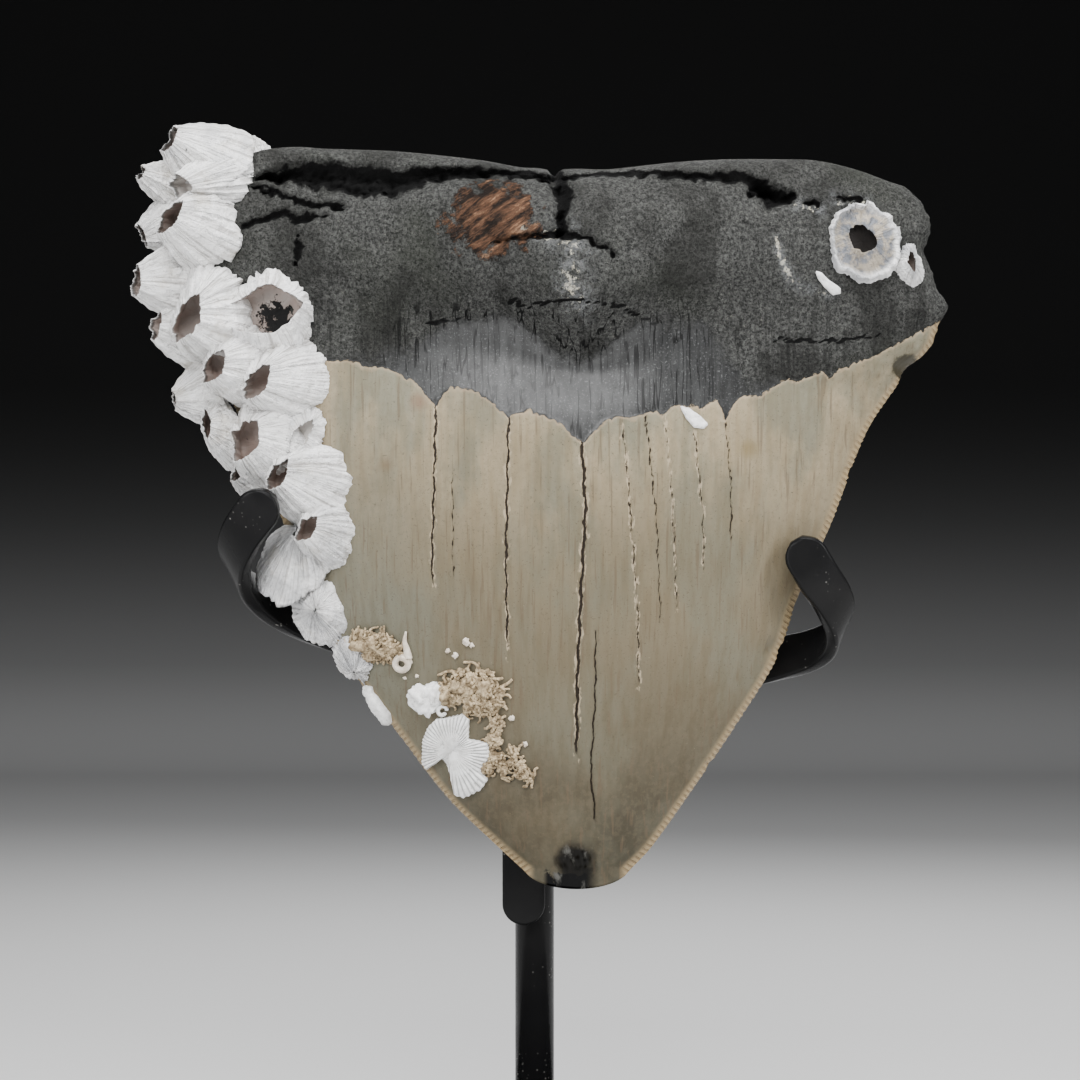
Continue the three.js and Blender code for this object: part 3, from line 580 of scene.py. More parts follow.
def tooth_form(x, z, side):
    """Depth of the tooth's face from its edge plane, without its fine relief."""
    left, right = smooth_curve(LEFT_EDGE, z), smooth_curve(RIGHT_EDGE, z)
    across = np.clip(np.abs((2 * x - left - right) / (right - left)), 0, 1)
    root = soft_step(88, 104, z)
    crown_shape = (1 - across ** 2) ** (0.8 if side < 0 else 0.65)
    root_shape = (1 - across ** 4) ** 0.5
    lobes = 0.66 + 0.34 * np.exp(-(x / 34) ** 2)
    top = smooth_curve(TOP_EDGE, x)
    below = np.clip((top - z) / 11, 0, 1)
    round_top = np.sqrt(1 - (1 - below) ** 2)
    rounded = np.sqrt(1 - (1 - np.clip((top - z) / 2.6, 0, 1)) ** 2)
    edge = 0.35 + 2.4 * root * (1 - across ** 22) ** 0.5 * rounded
    hang = z + 6 * np.exp(-(x / 10) ** 2) * soft_step(84, 100, z) * (1 - soft_step(108, 122, z))
    middle = eased_curve(FRONT_DEPTH, hang) if side < 0 else smooth_curve(BACK_DEPTH, z)
    shape = crown_shape * (1 - root) + root_shape * lobes * root
    depth = (middle - edge) * shape * (1 - root + root * round_top) + edge
    if side < 0:
        depth += eased_curve(BOSS, hang) * np.exp(-((x + 2) / 27) ** 2) * (0.4 + 0.6 * round_top)
    return depth


def draw_out_tooth(verts, side, layers):
    """Moves a flat grid's points out to the tooth's front (side -1) or back (1), and stores what its finish
    needs in the layers."""
    flat = np.array([vertex.co for vertex in verts])
    u, v = flat[:, 0], flat[:, 1]
    across = u + 0.55 * (np.sin(u * math.pi / 2) - u)
    t = (v + 1) / 2
    up = t + 0.3 * (np.sin(t * math.pi / 2) - t)
    row = LOW_ROW + (HIGH_ROW - LOW_ROW) * up
    left, right = smooth_curve(LEFT_EDGE, row), smooth_curve(RIGHT_EDGE, row)
    x = left + (right - left) * (across + 1) / 2
    z = row + (smooth_curve(TOP_EDGE, x) - HIGH_ROW) * up ** 8
    z = z - LOW_ROW * np.sqrt(np.clip(1 - across ** 2, 0, 1)) * (1 - up) ** 8
    inner = np.clip((1 - np.abs(u)) / 0.06, 0, 1) * np.clip((1 - np.abs(v)) / 0.06, 0, 1)
    border = BORDER_FRONT if side < 0 else BORDER_BACK
    # Grid lines are drawn in towards the cracks and the enamel's border, so that both stay crisp.
    for crack in ENAMEL_CRACKS if side < 0 else ():
        offset, open_share, _, _ = crack_offset(x, z, crack)
        x = x - offset * 0.6 * open_share * inner * np.exp(-(offset / 1.1) ** 2)
    from_border = z - np.interp(x, *(np.array(part) for part in zip(*border)))
    from_border += 0.45 * rough(x, z * 0, 0.9, 3, 5.0) + 0.6 * rough(x, z * 0.2, 1.9, 2, 7.0)
    drawn_in = from_border * 0.55 * inner * np.exp(-(from_border / 1.6) ** 2)
    z, from_border = z - drawn_in, from_border - drawn_in
    depth = tooth_form(x, z, side) + ENAMEL_THICKNESS * (1 - soft_step(-0.15, 0.2, from_border)) * inner

    # Bone swells and is pitted; neck and enamel are smooth with a fine upright ripple
    grain = rough(x, z, 0.09, 5, 1.0 + side)
    pitted = rough(x, z, 0.45, 4, 9.0 + side)
    fine = rough(x, z, 1.3, 2, 3.0 + side)
    bony = soft_step(0, 3, from_border)
    if side < 0:
        tongue, flanks = 7.5 * np.exp(-(x / 9) ** 2), 12 * soft_step(19, 31, x) + 7 * soft_step(20, 34, -x)
        bony = soft_step(100, 106, z + 2 * grain + tongue + flanks)
    hollows = np.clip(np.abs(pitted) * 2.2, 0, 1) - 1
    depth += bony * inner * (0.8 * grain + 0.2 * pitted + 0.13 * fine + 0.08 * hollows)
    ripple = rough(x, z, 0.35, 3, 6.0 + side, 0.08)
    depth += (1 - bony) * inner * (0.1 * ripple + 0.25 * rough(x, z, 0.03, 3, 2.0 + side) + 0.03 * fine)
    furrow, crack_mask, pale_mask, pale_bone, chipped = (x * 0 for _ in range(5))
    rust = x * 0 - 1
    if side < 0:
        wander = 0.9 * pitted + 0.25 * fine
        for line, widths, deep in FURROWS:
            away, share = distance_to_line(x + wander, z + wander, line)
            cut = np.exp(-(away / np.interp(share, *zip(*widths))) ** 2)
            furrow = np.maximum(furrow, cut)
            depth -= deep * cut * inner * np.clip(depth / 6, 0, 1) * (1 + 0.5 * pitted + 0.3 * fine)
        for number, crack in enumerate(ENAMEL_CRACKS):
            offset, open_share, width, strength = crack_offset(x, z, crack)
            cut = open_share * strength * np.exp(-(offset / width) ** 2)
            crack_mask = np.maximum(crack_mask, cut)
            depth -= 0.5 * cut * inner
            if number in PALE_CRACKS:
                infill = open_share * strength * np.exp(-(offset / (1.7 * width)) ** 2)
                pale_mask = np.maximum(pale_mask, infill)

    # The broken tip, the chips in the right edge, the saw of the cutting edge and the worn sides of the root
    chip = np.exp(-((x - 1) / 5.2) ** 2 - ((z + 0.5) / 5.5) ** 2)
    depth -= 0.55 * depth * chip * inner * (0.75 + 0.5 * fine)
    for chip_x, chip_z, size in EDGE_CHIPS:
        bite = np.exp(-((x - chip_x) / size) ** 2 - ((z - chip_z) / (0.8 * size)) ** 2)
        x = x - 0.8 * bite * (size / 1.8) * (np.abs(u) > 0.86) * (x > 0)
        depth *= 1 - 0.35 * bite
        chipped = np.maximum(chipped, bite * (size > DARK_CHIP_SIZE))
    along_edge = 0.83 * z + 0.55 * np.abs(x)
    saw = np.sin(along_edge * 2 * math.pi / SERRATION_PITCH + 2.5 * rough(z * 0, z, 0.16, 2, 4.0))
    on_edge = soft_step(0.975, 1.0, np.abs(u)) * (1 - soft_step(94, 100, z)) * soft_step(1, 4, z)
    x = x - SERRATION_DEPTH * np.sign(u) * on_edge * (saw * (0.7 + 0.8 * fine) + 0.6 * fine)
    lobe_wear = (np.abs(u) > 0.999) * soft_step(92, 104, z)
    x = x + lobe_wear * 0.35 * rough(z * 0, z, 0.7, 3, 8.0)
    edge_way = np.minimum(x - smooth_curve(LEFT_EDGE, z), smooth_curve(RIGHT_EDGE, z) - x)
    if side < 0:
        for line, size, strength in PALE_GRAINS:
            away, _ = distance_to_line(x + 0.8 * pitted, z + 0.8 * fine, line)
            pale_bone = np.maximum(pale_bone, strength * np.exp(-(away / size) ** 2))
        rust = 1 - np.hypot((x - RUST_MIDDLE[0]) / RUST_REACH[0], (z - RUST_MIDDLE[1]) / RUST_REACH[1])
        rust += 0.35 * pitted
    rows = (from_border, bony, furrow, crack_mask, pale_mask, rust, edge_way, pale_bone, chipped)
    for vertex, a, b, c, *numbers in zip(verts, x, side * depth, z, *rows):
        vertex.co = (a + TOOTH_X, b + TOOTH_Y, c + TIP_HEIGHT)
        for layer, number in zip(layers, numbers):
            vertex[layer] = number


tooth_mesh = bmesh.new()
tooth_layers = [tooth_mesh.verts.layers.float.new(name) for name in TOOTH_VALUES]
bmesh.ops.create_grid(tooth_mesh, x_segments=COLUMNS, y_segments=ROWS, size=1)
draw_out_tooth(tooth_mesh.verts[:], -1, tooth_layers)
front_verts, front_faces = len(tooth_mesh.verts), len(tooth_mesh.faces)
bmesh.ops.create_grid(tooth_mesh, x_segments=COLUMNS // BACK_SHARE, y_segments=ROWS // BACK_SHARE, size=1)
back_rim = [e for v in tooth_mesh.verts[:][front_verts:] for e in v.link_edges if e.is_boundary]
bmesh.ops.subdivide_edges(tooth_mesh, edges=list(set(back_rim)), cuts=BACK_SHARE - 1)
bmesh.ops.reverse_faces(tooth_mesh, faces=tooth_mesh.faces[:][front_faces:])
draw_out_tooth(tooth_mesh.verts[:][front_verts:], 1, tooth_layers)
bmesh.ops.bridge_loops(tooth_mesh, edges=[e for e in tooth_mesh.edges if e.is_boundary])
tooth_faces = BVHTree.FromBMesh(tooth_mesh)


def make_tooth_material():
    material, surface, place = new_material("fossil_tooth")
    x, height = place.part("X"), place.part("Z") - TIP_HEIGHT * MM
    coarse = place.noise(45.0, 4.0)
    patchy = place.stretched(1, 1, 0.5).noise(70.0, 5.0, 0.6)
    grain = place.noise(2600.0, 3.0, 0.7)
    speckle = place.noise(900.0, 4.0, 0.65)
    streak = place.stretched(1, 1, 0.05).noise(700.0, 4.0, 0.6)
    hair = place.stretched(1, 0.3, 0.045).noise(1500.0, 3.0, 0.5)
    torn = place.noise(420.0, 5.0, 0.75)
    pitting = place.noise(1500.0, 5.0, 0.8)

    # Enamel: warm beige under the root, olive grey towards the tip, with greenish grey clouds
    cloud = patchy.between(0.42, 0.6, 0.0, 0.85) * height.between(0.01, 0.05, 0.25, 1.0)
    left_side = x.between((TOOTH_X - 46) * MM, (TOOTH_X - 20) * MM, 0.95, 0.0) * height.between(0.085, 0.06)
    middle = height.between(0.08, 0.055) * height.between(0.012, 0.035)
    dotted = grain.between(0.68, 0.8, 0.0, 0.4) * height.between(0.09, 0.03, 0.25, 1.0)
    tint = height.between(-0.002, 0.095).colours((0.036, 0.0315, 0.02), (0.295, 0.246, 0.164))
    tint = tint.under((cloud, (0.15, 0.148, 0.11)),
                      (left_side * speckle.between(0.3, 0.6, 0.6, 1.0), (0.165, 0.175, 0.142)),
                      (coarse.between(0.42, 0.7, 0.0, 0.42), (0.15, 0.123, 0.077)),
                      (middle * 0.38, (0.1, 0.084, 0.055)))
    tint = streak.between(0.38, 0.66, 0.0, 0.4).colours(tint, (0.7, 0.63, 0.52), "MULTIPLY")
    tint = tint.under((hair.between(0.585, 0.68, 0.0, 0.55), (0.1, 0.072, 0.045)),
                      (speckle.between(0.46, 0.62, 0.0, 0.22), (0.13, 0.105, 0.07)),
                      (dotted, (0.46, 0.39, 0.28)),
                      (grain.between(0.42, 0.3, 0.0, 0.6), (0.06, 0.048, 0.032)))
    for spot_x, spot_z, size, spot_tint in ENAMEL_SPOTS:
        away = place.moved((spot_x + TOOTH_X) * MM, 0, (spot_z + TIP_HEIGHT) * MM).stretched(1, 0, 1).length()
        spot = (away + coarse * (5 * MM)).between((size + 2) * MM, (size + 4) * MM, 0.6, 0.0)
        tint = tint.under((spot, spot_tint))
    border = place.layer("from_border")
    tint = tint.under(((border + speckle * 1.4).between(-0.2, 1.0, 0.0, 0.55), (0.36, 0.26, 0.165)))

    # Serrated edge: a tan band crossed by short brown lines, one to each tooth of the saw
    edge_way = place.layer("edge_way")
    along = height * 0.83 + (x - TOOTH_X * MM).maths("ABSOLUTE") * 0.55
    saw = (along * (2 * math.pi / (SERRATION_PITCH * MM)) + place.noise(300.0, 2.0) * 3.0).maths("SINE")
    notch = saw.between(0.0, 0.8) * edge_way.between(0.6, 1.7, 0.6, 0.0)
    tint = tint.under((edge_way.between(0.4, 2.2, 0.85, 0.0), (0.36, 0.27, 0.15)),
                      (notch, (0.16, 0.11, 0.06)))

    # Cracks: dark lines, some with pale packed sand along them, and dark chips in the right edge
    pale_crack = place.layer("pale_crack")
    packed = place.stretched(1, 1, 0.4).noise(1300.0, 3.0, 0.6)
    infill = (pale_crack + packed * 3.0).between(1.8, 2.15, 0.0, 0.62) * pale_crack.between(0.03, 0.2)
    crack_line = (place.layer("crack") + speckle * 1.3).between(1.02, 1.24)
    chip = (place.layer("chipped") + speckle * 0.6).between(0.5, 0.75, 0.0, 0.92)
    tint = tint.under((infill, (0.42, 0.345, 0.24)), (crack_line, (0.02, 0.014, 0.009)),
                      (chip, (0.026, 0.023, 0.013)))

    # Broken tip: the dark glassy inside of the crown shows
    from_tip = place.moved((TOOTH_X - 1.3) * MM, (TOOTH_Y - 2) * MM, (TIP_HEIGHT + 4.6) * MM)
    tip_way = from_tip.stretched(1.25, 0.3, 1.0).length() + place.noise(350.0) * 0.004
    bitten = place.noise(420.0, 4.0, 0.65) * 0.009 + height
    broken_foot = (bitten.between(0.0072, 0.008, 1.0, 0.0)
                   * x.between((TOOTH_X - 7.4) * MM, (TOOTH_X - 6.2) * MM)
                   * x.between((TOOTH_X + 0.4) * MM, (TOOTH_X + 3.6) * MM, 1.0, 0.0))
    tip = tip_way.between(0.0046, 0.0078, 0.95, 0.0).maths("MAXIMUM", broken_foot)
    flow = place.stretched(1, 1, 0.4).noise(520.0, 4.0, 0.6)
    tint = tint.under((tip, flow.between(0.53, 0.7).colours((0.0004, 0.0004, 0.0005), (0.09, 0.088, 0.08))))

    # Neck: a smooth dark band with fine upright cracks, which run on into the bone above it
    neck = streak.between(0.35, 0.65).colours((0.016, 0.0164, 0.0164), (0.036, 0.0368, 0.0368))
    neck = neck.under((grain.between(0.56, 0.68, 0.0, 0.8), (0.1, 0.102, 0.103)))
    off_middle = (x - (TOOTH_X - 7) * MM).maths("ABSOLUTE")
    thread = (place.stretched(1, 0.3, 0.05).noise(760.0, 2.0, 0.4) - 0.5).maths("ABSOLUTE")
    neck_crack = thread.between(0.012, 0.03, 1.0, 0.0) * off_middle.between(0.018, 0.034, 1.0, 0.2)
    neck_crack = neck_crack * place.stretched(1, 1, 0.5).noise(300.0, 2.0).between(0.42, 0.5)
    neck_crack = neck_crack * height.between(0.102, 0.108, 1.0, 0.0)
    neck_crack = neck_crack * place.part("Y").between((TOOTH_Y - 2) * MM, TOOTH_Y * MM, 1.0, 0.0)

    # Root: grainy bone, pale grains, salt in its hollows, painted shade in the furrows, a fibrous spot of
    # rust
    grains = place.noise(1700.0, 3.0, 0.75).between(0.59, 0.67) * place.noise(200.0, 4.0).between(
        0.4, 0.66, 0.1, 0.75)
    pale_bone = place.layer("pale_bone")
    brushed = streak.between(0.5, 0.62, 0.0, 0.55) * height.between(0.112, 0.1)
    # Painted shade: the furrows' depths are painted near black
    deep = (place.layer("furrow") + torn * 1.3).between(0.9, 1.12)
    bone = pitting.between(0.36, 0.66).colours((0.022, 0.0225, 0.0215), (0.098, 0.099, 0.094))
    bone = bone.under((coarse.between(0.45, 0.7, 0.0, 0.6), (0.026, 0.029, 0.022)),
                      (grains, (0.16, 0.157, 0.142)),
                      (patchy.between(0.5, 0.64, 0.0, 0.6), (0.014, 0.014, 0.0125)),
                      (brushed, (0.014, 0.014, 0.013)),
                      ((pale_bone * 0.5 + speckle * 2.0).between(1.6, 1.8), (0.5, 0.47, 0.38)),
                      (pale_bone * torn.between(0.42, 0.6, 0.0, 0.3), (0.3, 0.31, 0.32)),
                      (grain.between(0.34, 0.5, 0.85, 0.0), (0.006, 0.006, 0.0055)),
                      (deep, (0.0025, 0.0025, 0.0025)))
    rust = (place.layer("rust") + torn * 1.4).between(0.7, 0.9, 0.0, 0.95)
    turned = add_node(place.tree, "VectorRotate", {"Vector": place, "Axis": (0, 1, 0), "Angle": 0.6},
                      rotation_type="AXIS_ANGLE")
    fibre = turned.stretched(0.35, 1, 1.6).noise(420.0, 6.0, 0.75)
    rust_colour = fibre.between(0.4, 0.56).colours((0.012, 0.008, 0.006), (0.11, 0.055, 0.031))
    bone = bone.under((rust, rust_colour.under((fibre.between(0.55, 0.66), (0.31, 0.18, 0.108)))))

    # The parts together: satin enamel, smoother neck with a soft gleam in its middle, dry bone
    bony = (place.layer("bony") + (speckle * 0.5 + torn * 1.0)).between(0.7, 1.55)
    enamel = (border + speckle * 1.1).between(0.44, 0.62, 1.0, 0.0)
    dark = bony.colours(neck, bone).under((neck_crack, (0.002, 0.002, 0.002)))
    enamel.colours(dark, tint).to(surface, "Base Color")
    finish = enamel.pick(bony * 0.34 + 0.46, patchy.between(0.3, 0.7, 0.34, 0.5))
    finish.maths("SUBTRACT", tip * 0.25, clamp=True).to(surface, "Roughness")
    surface.inputs["Specular IOR Level"].default_value = 0.12
    surface.inputs["Coat Roughness"].default_value = 0.46
    neck_shine = bony.between(0.0, 0.6, 1.0, 0.0) * off_middle.between(0.009, 0.026, 1.0, 0.04)
    enamel.pick(neck_shine, tip * -0.06 + 0.08).to(surface, "Coat Weight")

    # Relief too fine for the mesh
    bone_relief = speckle * 0.8 + pitting * 1.2 + rust * (fibre * 3.0)
    neck_relief = (streak + speckle) * 0.3 - neck_crack * 0.7
    enamel_relief = streak * 0.16 - notch * 0.5 - crack_line * 0.5
    enamel.pick(bony.pick(neck_relief, bone_relief), enamel_relief).bump(0.9, 0.0006).to(surface, "Normal")
    return material


finished_piece(tooth_mesh, "fossil_tooth", make_tooth_material(), "tooth")


# Acorn barnacles: chalky cones of ribbed wall plates, each a shell of its own, grown on the tooth and over
# one another. Their lids are gone, so each pit stands open, smooth and brownish inside. The foot follows the
# tooth, and the wall is rolled up from there over the rim and down into the pit.
SHELL_LAYERS = ("inside", "rise", "pit_shade", "worn", "tar")
SHELL_AROUND, SHELL_ALONG = 144, 34
OUTSIDE_SHARE, RIM_SHARE = 0.56, 0.66
SHELL_WALL, FOOT_SINK, FOOT_REACH = 0.36, 0.45, 2.2
PIT_FLOOR, TAR_FLOOR = 0.6, 0.2
# For each shell: the foot's place (with its depth where it isn't on the front) and radius, the way to its
# mouth, the mouth's length, width and turn, and how far and to which side the foot's face tilts
SHELLS = {
    "top_far": ((-62, 131, 1.4), 5.6, (0.6, 0.8, 4.6), (3, 1.8, 20), (85, 95)),
    "top_large": ((-66, 131, -4), 8.2, (-7.1, 4.6, 2.9), (4.4, 2.6, 45), (50, 145)),
    "top_wedge": ((-64, 128), 6.2, (-7.2, 5.4, -2.6), (6, 3.2, 5), (38, 200)),
    "corner": ((-74.4, 127, -1), 5.6, (-4.2, 4.8, 1.2), (2.4, 1.4, 25), (65, 165)),
    "rim_1": ((-74.6, 121.2, -0.6), 6, (-4.2, 2.4, -3.6), (3.6, 2.4, 70), (74, 190)),
    "shoulder": ((-68.4, 118.2), 8.2, (-4.3, 8, 1.3), (6.6, 2.8, 42), (35, 180)),
    "rim_2": ((-73.4, 108.6, -1), 7, (-6.2, 4, 0.3), (4.6, 3.2, 60), (60, 180)),
    "large": ((-67.4, 102.8), 9.4, (-2.2, 9.4, -0.8), (8, 4, 60), (32, 185)),
    "rim_3": ((-72, 99.4, -1), 6.6, (-4.2, 3, 1.7), (4.6, 2.8, 75), (64, 185)),
    "broken": ((-55.8, 102.4), 7.8, (-0.8, 5, 0.9), (13.4, 7.2, 10), (14, 180)),
    "pair_left": ((-61, 93.4), 7.8, (-4.2, 7.4, 0), (6, 3.6, 48), (30, 180)),
    "pair_right": ((-51.8, 91.6), 7.4, (-5.5, 7.4, -1), (6.8, 3.6, 46), (18, 180)),
    "rim_4": ((-68, 88.4, -1), 6.8, (-5.2, 1.8, -0.4), (3, 1.6, 80), (72, 195)),
    "slit": ((-65.8, 80.8, -2), 6.6, (-1, 6, 2.4), (4.4, 1.5, 100), (54, 195)),
    "middle": ((-56, 78.6), 8.8, (-3.6, 8.6, 1.8), (6.8, 4.6, 60), (26, 190)),
    "side_mouth": ((-50, 82), 5, (0, 4, -0.7), (6, 2.4, 55), (8, 0)),
    "ribbed": ((-48.6, 72), 8.2, (-5.4, 7.4, 2.1), (5.4, 3.2, 50), (18, 180)),
    "rim_5": ((-60, 73.4, -2), 6, (-1.6, 4.6, 1.4), (3, 1.8, 60), (48, 200)),
    "lower": ((-45.4, 63.8), 5.5, (-3.4, 6.4, 1.0), (4.6, 2.8, 40), (20, 185)),
    "under_prong": ((-53.2, 58, -2.4), 8.4, (3, 4.4, 6), (2.8, 1.8, 45), (40, 140)),
    "worn": ((-49, 49.2, -2), 7, (1.2, 4.6, 1), (0.7, 0.4, 60), (36, 205)),
    "lowest": ((-42.4, 41, -1.4), 5.2, (1.4, 3.4, -1.7), (0.6, 0.4, -30), (30, 205)),
    "ring": ((50.4, 115.6), 7.2, (-0.9, 2.5, 0.4), (5.0, 3.8, -30), (10, 10)),
    "ring_small": ((58.8, 111.8), 3.5, (-0.4, 2.6, 0.4), (3, 1.4, 100), (30, 0)),
    "back_upper": ((-67, 118, 2.4), 6.6, (-2.4, -6, 1), (4.4, 2.8, 120), (142, 180)),
    "back_middle": ((-64.6, 104, 2), 6, (-1.6, -5.4, -1), (4, 2.4, 60), (148, 190)),
    "back_lower": ((-59.4, 88, 2), 5.4, (-1.4, -4.8, 0.8), (3.4, 2.2, 110), (146, 195)),
}
# How pale a pit is (below 0, how dark it is painted, as painted shade in a hole), how worn the wall, and a
# black crust in the pit: x, z and size
SHELL_WEAR = {
    "broken": (0.2, 0.3, (-54.2, 101.8, 4.4)), "side_mouth": (0.8, 0.2, None), "ring": (-1.0, 1.0, None),
    "ring_small": (-0.4, 0.8, None), "top_large": (0.3, 0.5, None), "lower": (0.0, 0.5, None),
    "under_prong": (0.6, 0.6, None), "worn": (1.0, 0.7, None), "lowest": (1.0, 0.7, None),
    "top_wedge": (0.7, 0.2, None), "rim_1": (0.2, 0.3, None),
}


def around_noise(cos, sin, radius, seed, shift=0.0):
    places = zip(cos * radius + seed * 7.31, sin * radius + shift)
    return np.array([noise.noise((a, b, seed * 3.17)) for a, b in places])


def unit(rows):
    return rows / np.maximum(np.linalg.norm(rows, axis=1), 1e-6)[:, None]


def make_barnacle(key, seed):
    (x, z, *depth), base, (right, forward, up), (length, width, turn_degrees), (tilt, side) = SHELLS[key]
    pit_shade, worn, tar_spot = SHELL_WEAR.get(key, (0.0, 0.0, None))
    tilt, side, turned = (math.radians(value) for value in (tilt, side, turn_degrees))
    depth = depth[0] if depth else -float(tooth_form(np.array([x]), np.array([z]), -1)[0])
    foot = Vector((x + TOOTH_X, depth + TOOTH_Y, z + TIP_HEIGHT))
    face = Vector((math.sin(tilt) * math.cos(side), -math.cos(tilt), math.sin(tilt) * math.sin(side)))
    reach = Vector((right, -forward, up))
    lip_face = face.lerp(reach.normalized(), 0.6).normalized()
    long = Vector((math.cos(turned), 0, math.sin(turned)))
    pit_floor = TAR_FLOOR if tar_spot else PIT_FLOOR

    def axes(normal):
        first = (long - normal * long.dot(normal)).normalized()
        return np.array(first), np.array(normal.cross(first))

    (foot_long, foot_wide), (lip_long, lip_wide) = axes(face), axes(lip_face)
    foot, lip_middle, face, lip_face = (np.array(way) for way in (foot, foot + reach, face, lip_face))

    def settled(point):
        near, normal, _, away = tooth_faces.find_nearest(Vector(point))
        return np.array(Vector(point).lerp(near - normal * FOOT_SINK, min(1.0, FOOT_REACH / max(away, 1e-6))))

    def shape(turn, share):
        angle = turn * 2 * math.pi
        cos, sin = np.cos(angle), np.sin(angle)
        lump = around_noise(cos, sin, 1.1, seed)
        wavy = around_noise(cos, sin, 3.0, seed, 5.0)
        ridge = 1 - 2 * np.abs(around_noise(cos, sin, 8.5, seed, 9.0))
        out = np.clip(share / OUTSIDE_SHARE, 0, 1)
        rim = np.clip((share - OUTSIDE_SHARE) / (RIM_SHARE - OUTSIDE_SHARE), 0, 1)
        pit = np.clip((share - RIM_SHARE) / (1 - RIM_SHARE), 0, 1)

        # Foot and lip: a ring settled on the tooth, and a roughly diamond-shaped mouth, rounder where worn
        foot_ring = cos[:, None] * foot_long + sin[:, None] * foot_wide
        foot_points = foot + foot_ring * (base * (1.0 + 0.16 * lump + 0.09 * wavy + 0.045 * ridge))[:, None]
        _, first, back = np.unique(turn, return_index=True, return_inverse=True)
        foot_points = np.array([settled(point) for point in foot_points[first]])[back]
        diamond = (np.abs(cos) ** 1.15 + np.abs(sin) ** 1.15) ** (-1 / 1.15) if worn < 0.9 else 0.9
        lip_ring = cos[:, None] * lip_long * (length / 2) + sin[:, None] * lip_wide * (width / 2)
        lip_ring = lip_ring * ((0.3 + 0.7 * diamond) * (1.22 + 0.24 * lump + 0.1 * wavy))[:, None]
        lip_out = unit(lip_ring)
        lip_points = lip_middle + lip_ring + lip_out * SHELL_WALL * 0.5
        lip_points += lip_face * (0.35 * wavy + 0.5 * lump + 0.12 * ridge)[:, None]

        # Wall: plates with ribs, growth lines and lumps, flatter where worn; a ring is raised round its rim
        wall = foot_points + (lip_points - foot_points) * out[:, None]
        outward = unit(wall - foot - (lip_middle - foot) * out[:, None])
        plates = np.abs(np.sin(angle * 3 + seed + 0.9 * lump)) ** 0.4 - 0.8
        lumps = around_noise(cos * (1 + 2.2 * out), sin * (1 + 2.2 * out), 2.4, seed, 13.0)
        swell = (0.26 * ridge + 0.45 * wavy + 0.5 * plates + 0.45 * lumps) * (1 - 0.55 * out)
        swell = swell * (1 - 0.6 * worn)
        swell += 0.09 * np.sin(out * 30 + 5 * lump + 3 * wavy) + 0.75 * np.sin(out * math.pi) * base / 8
        wall = wall + outward * (swell * np.clip(out * 8, 0, 1))[:, None]
        raised = 1.5 * np.exp(-((out - 0.3) / 0.17) ** 2) * (1 + 0.9 * lump + 0.5 * wavy)
        wall = wall + face * (raised * (worn >= 1))[:, None]

        # Rim and pit: the wall turns in over its own thickness and goes down to a narrower floor
        rim_points = wall - lip_out * (SHELL_WALL * rim)[:, None]
        rim_points = rim_points + lip_face * (0.16 * np.sin(rim * math.pi))[:, None]
        low_middle = foot_points.mean(axis=0) * (1 - pit_floor) + lip_middle * pit_floor
        low_wall = foot_points * (1 - pit_floor) + lip_points * pit_floor
        down, inward = np.clip(pit / 0.6, 0, 1) ** 0.9, np.clip((pit - 0.6) / 0.4, 0, 1)
        floor = low_middle + (low_wall - low_middle) * (0.76 * (1 - 0.97 * inward))[:, None]
        points = rim_points + (floor - rim_points) * down[:, None]
        points -= face * (0.5 * np.sin(inward * math.pi / 2) + 0.12 * wavy * inward * (1 - inward))[:, None]

        rib_place = np.column_stack([cos * 8, sin * 8, seed * 5.0 + out * 0.8])
        inside = np.where(pit > 0, 0.3 + 0.7 * pit, 0.3 * rim)
        tar = out * 0
        if tar_spot:
            spot_x, spot_z, size = tar_spot
            away = np.hypot(points[:, 0] - spot_x - TOOTH_X, points[:, 2] - spot_z - TIP_HEIGHT) / size
            tar = np.clip(1.3 - away, 0, 1) * (pit > 0)
        return points, rib_place, inside, out, out * 0 + pit_shade, out * 0 + worn, tar

    mesh = bmesh.new()
    layers = [mesh.verts.layers.float_vector.new("rib_place")]
    layers += [mesh.verts.layers.float.new(name) for name in SHELL_LAYERS]
    rolled_sheet(mesh, SHELL_AROUND, SHELL_ALONG, shape, layers)
    finished_piece(mesh, "shell_" + key, shell_material, "barnacle_" + key)


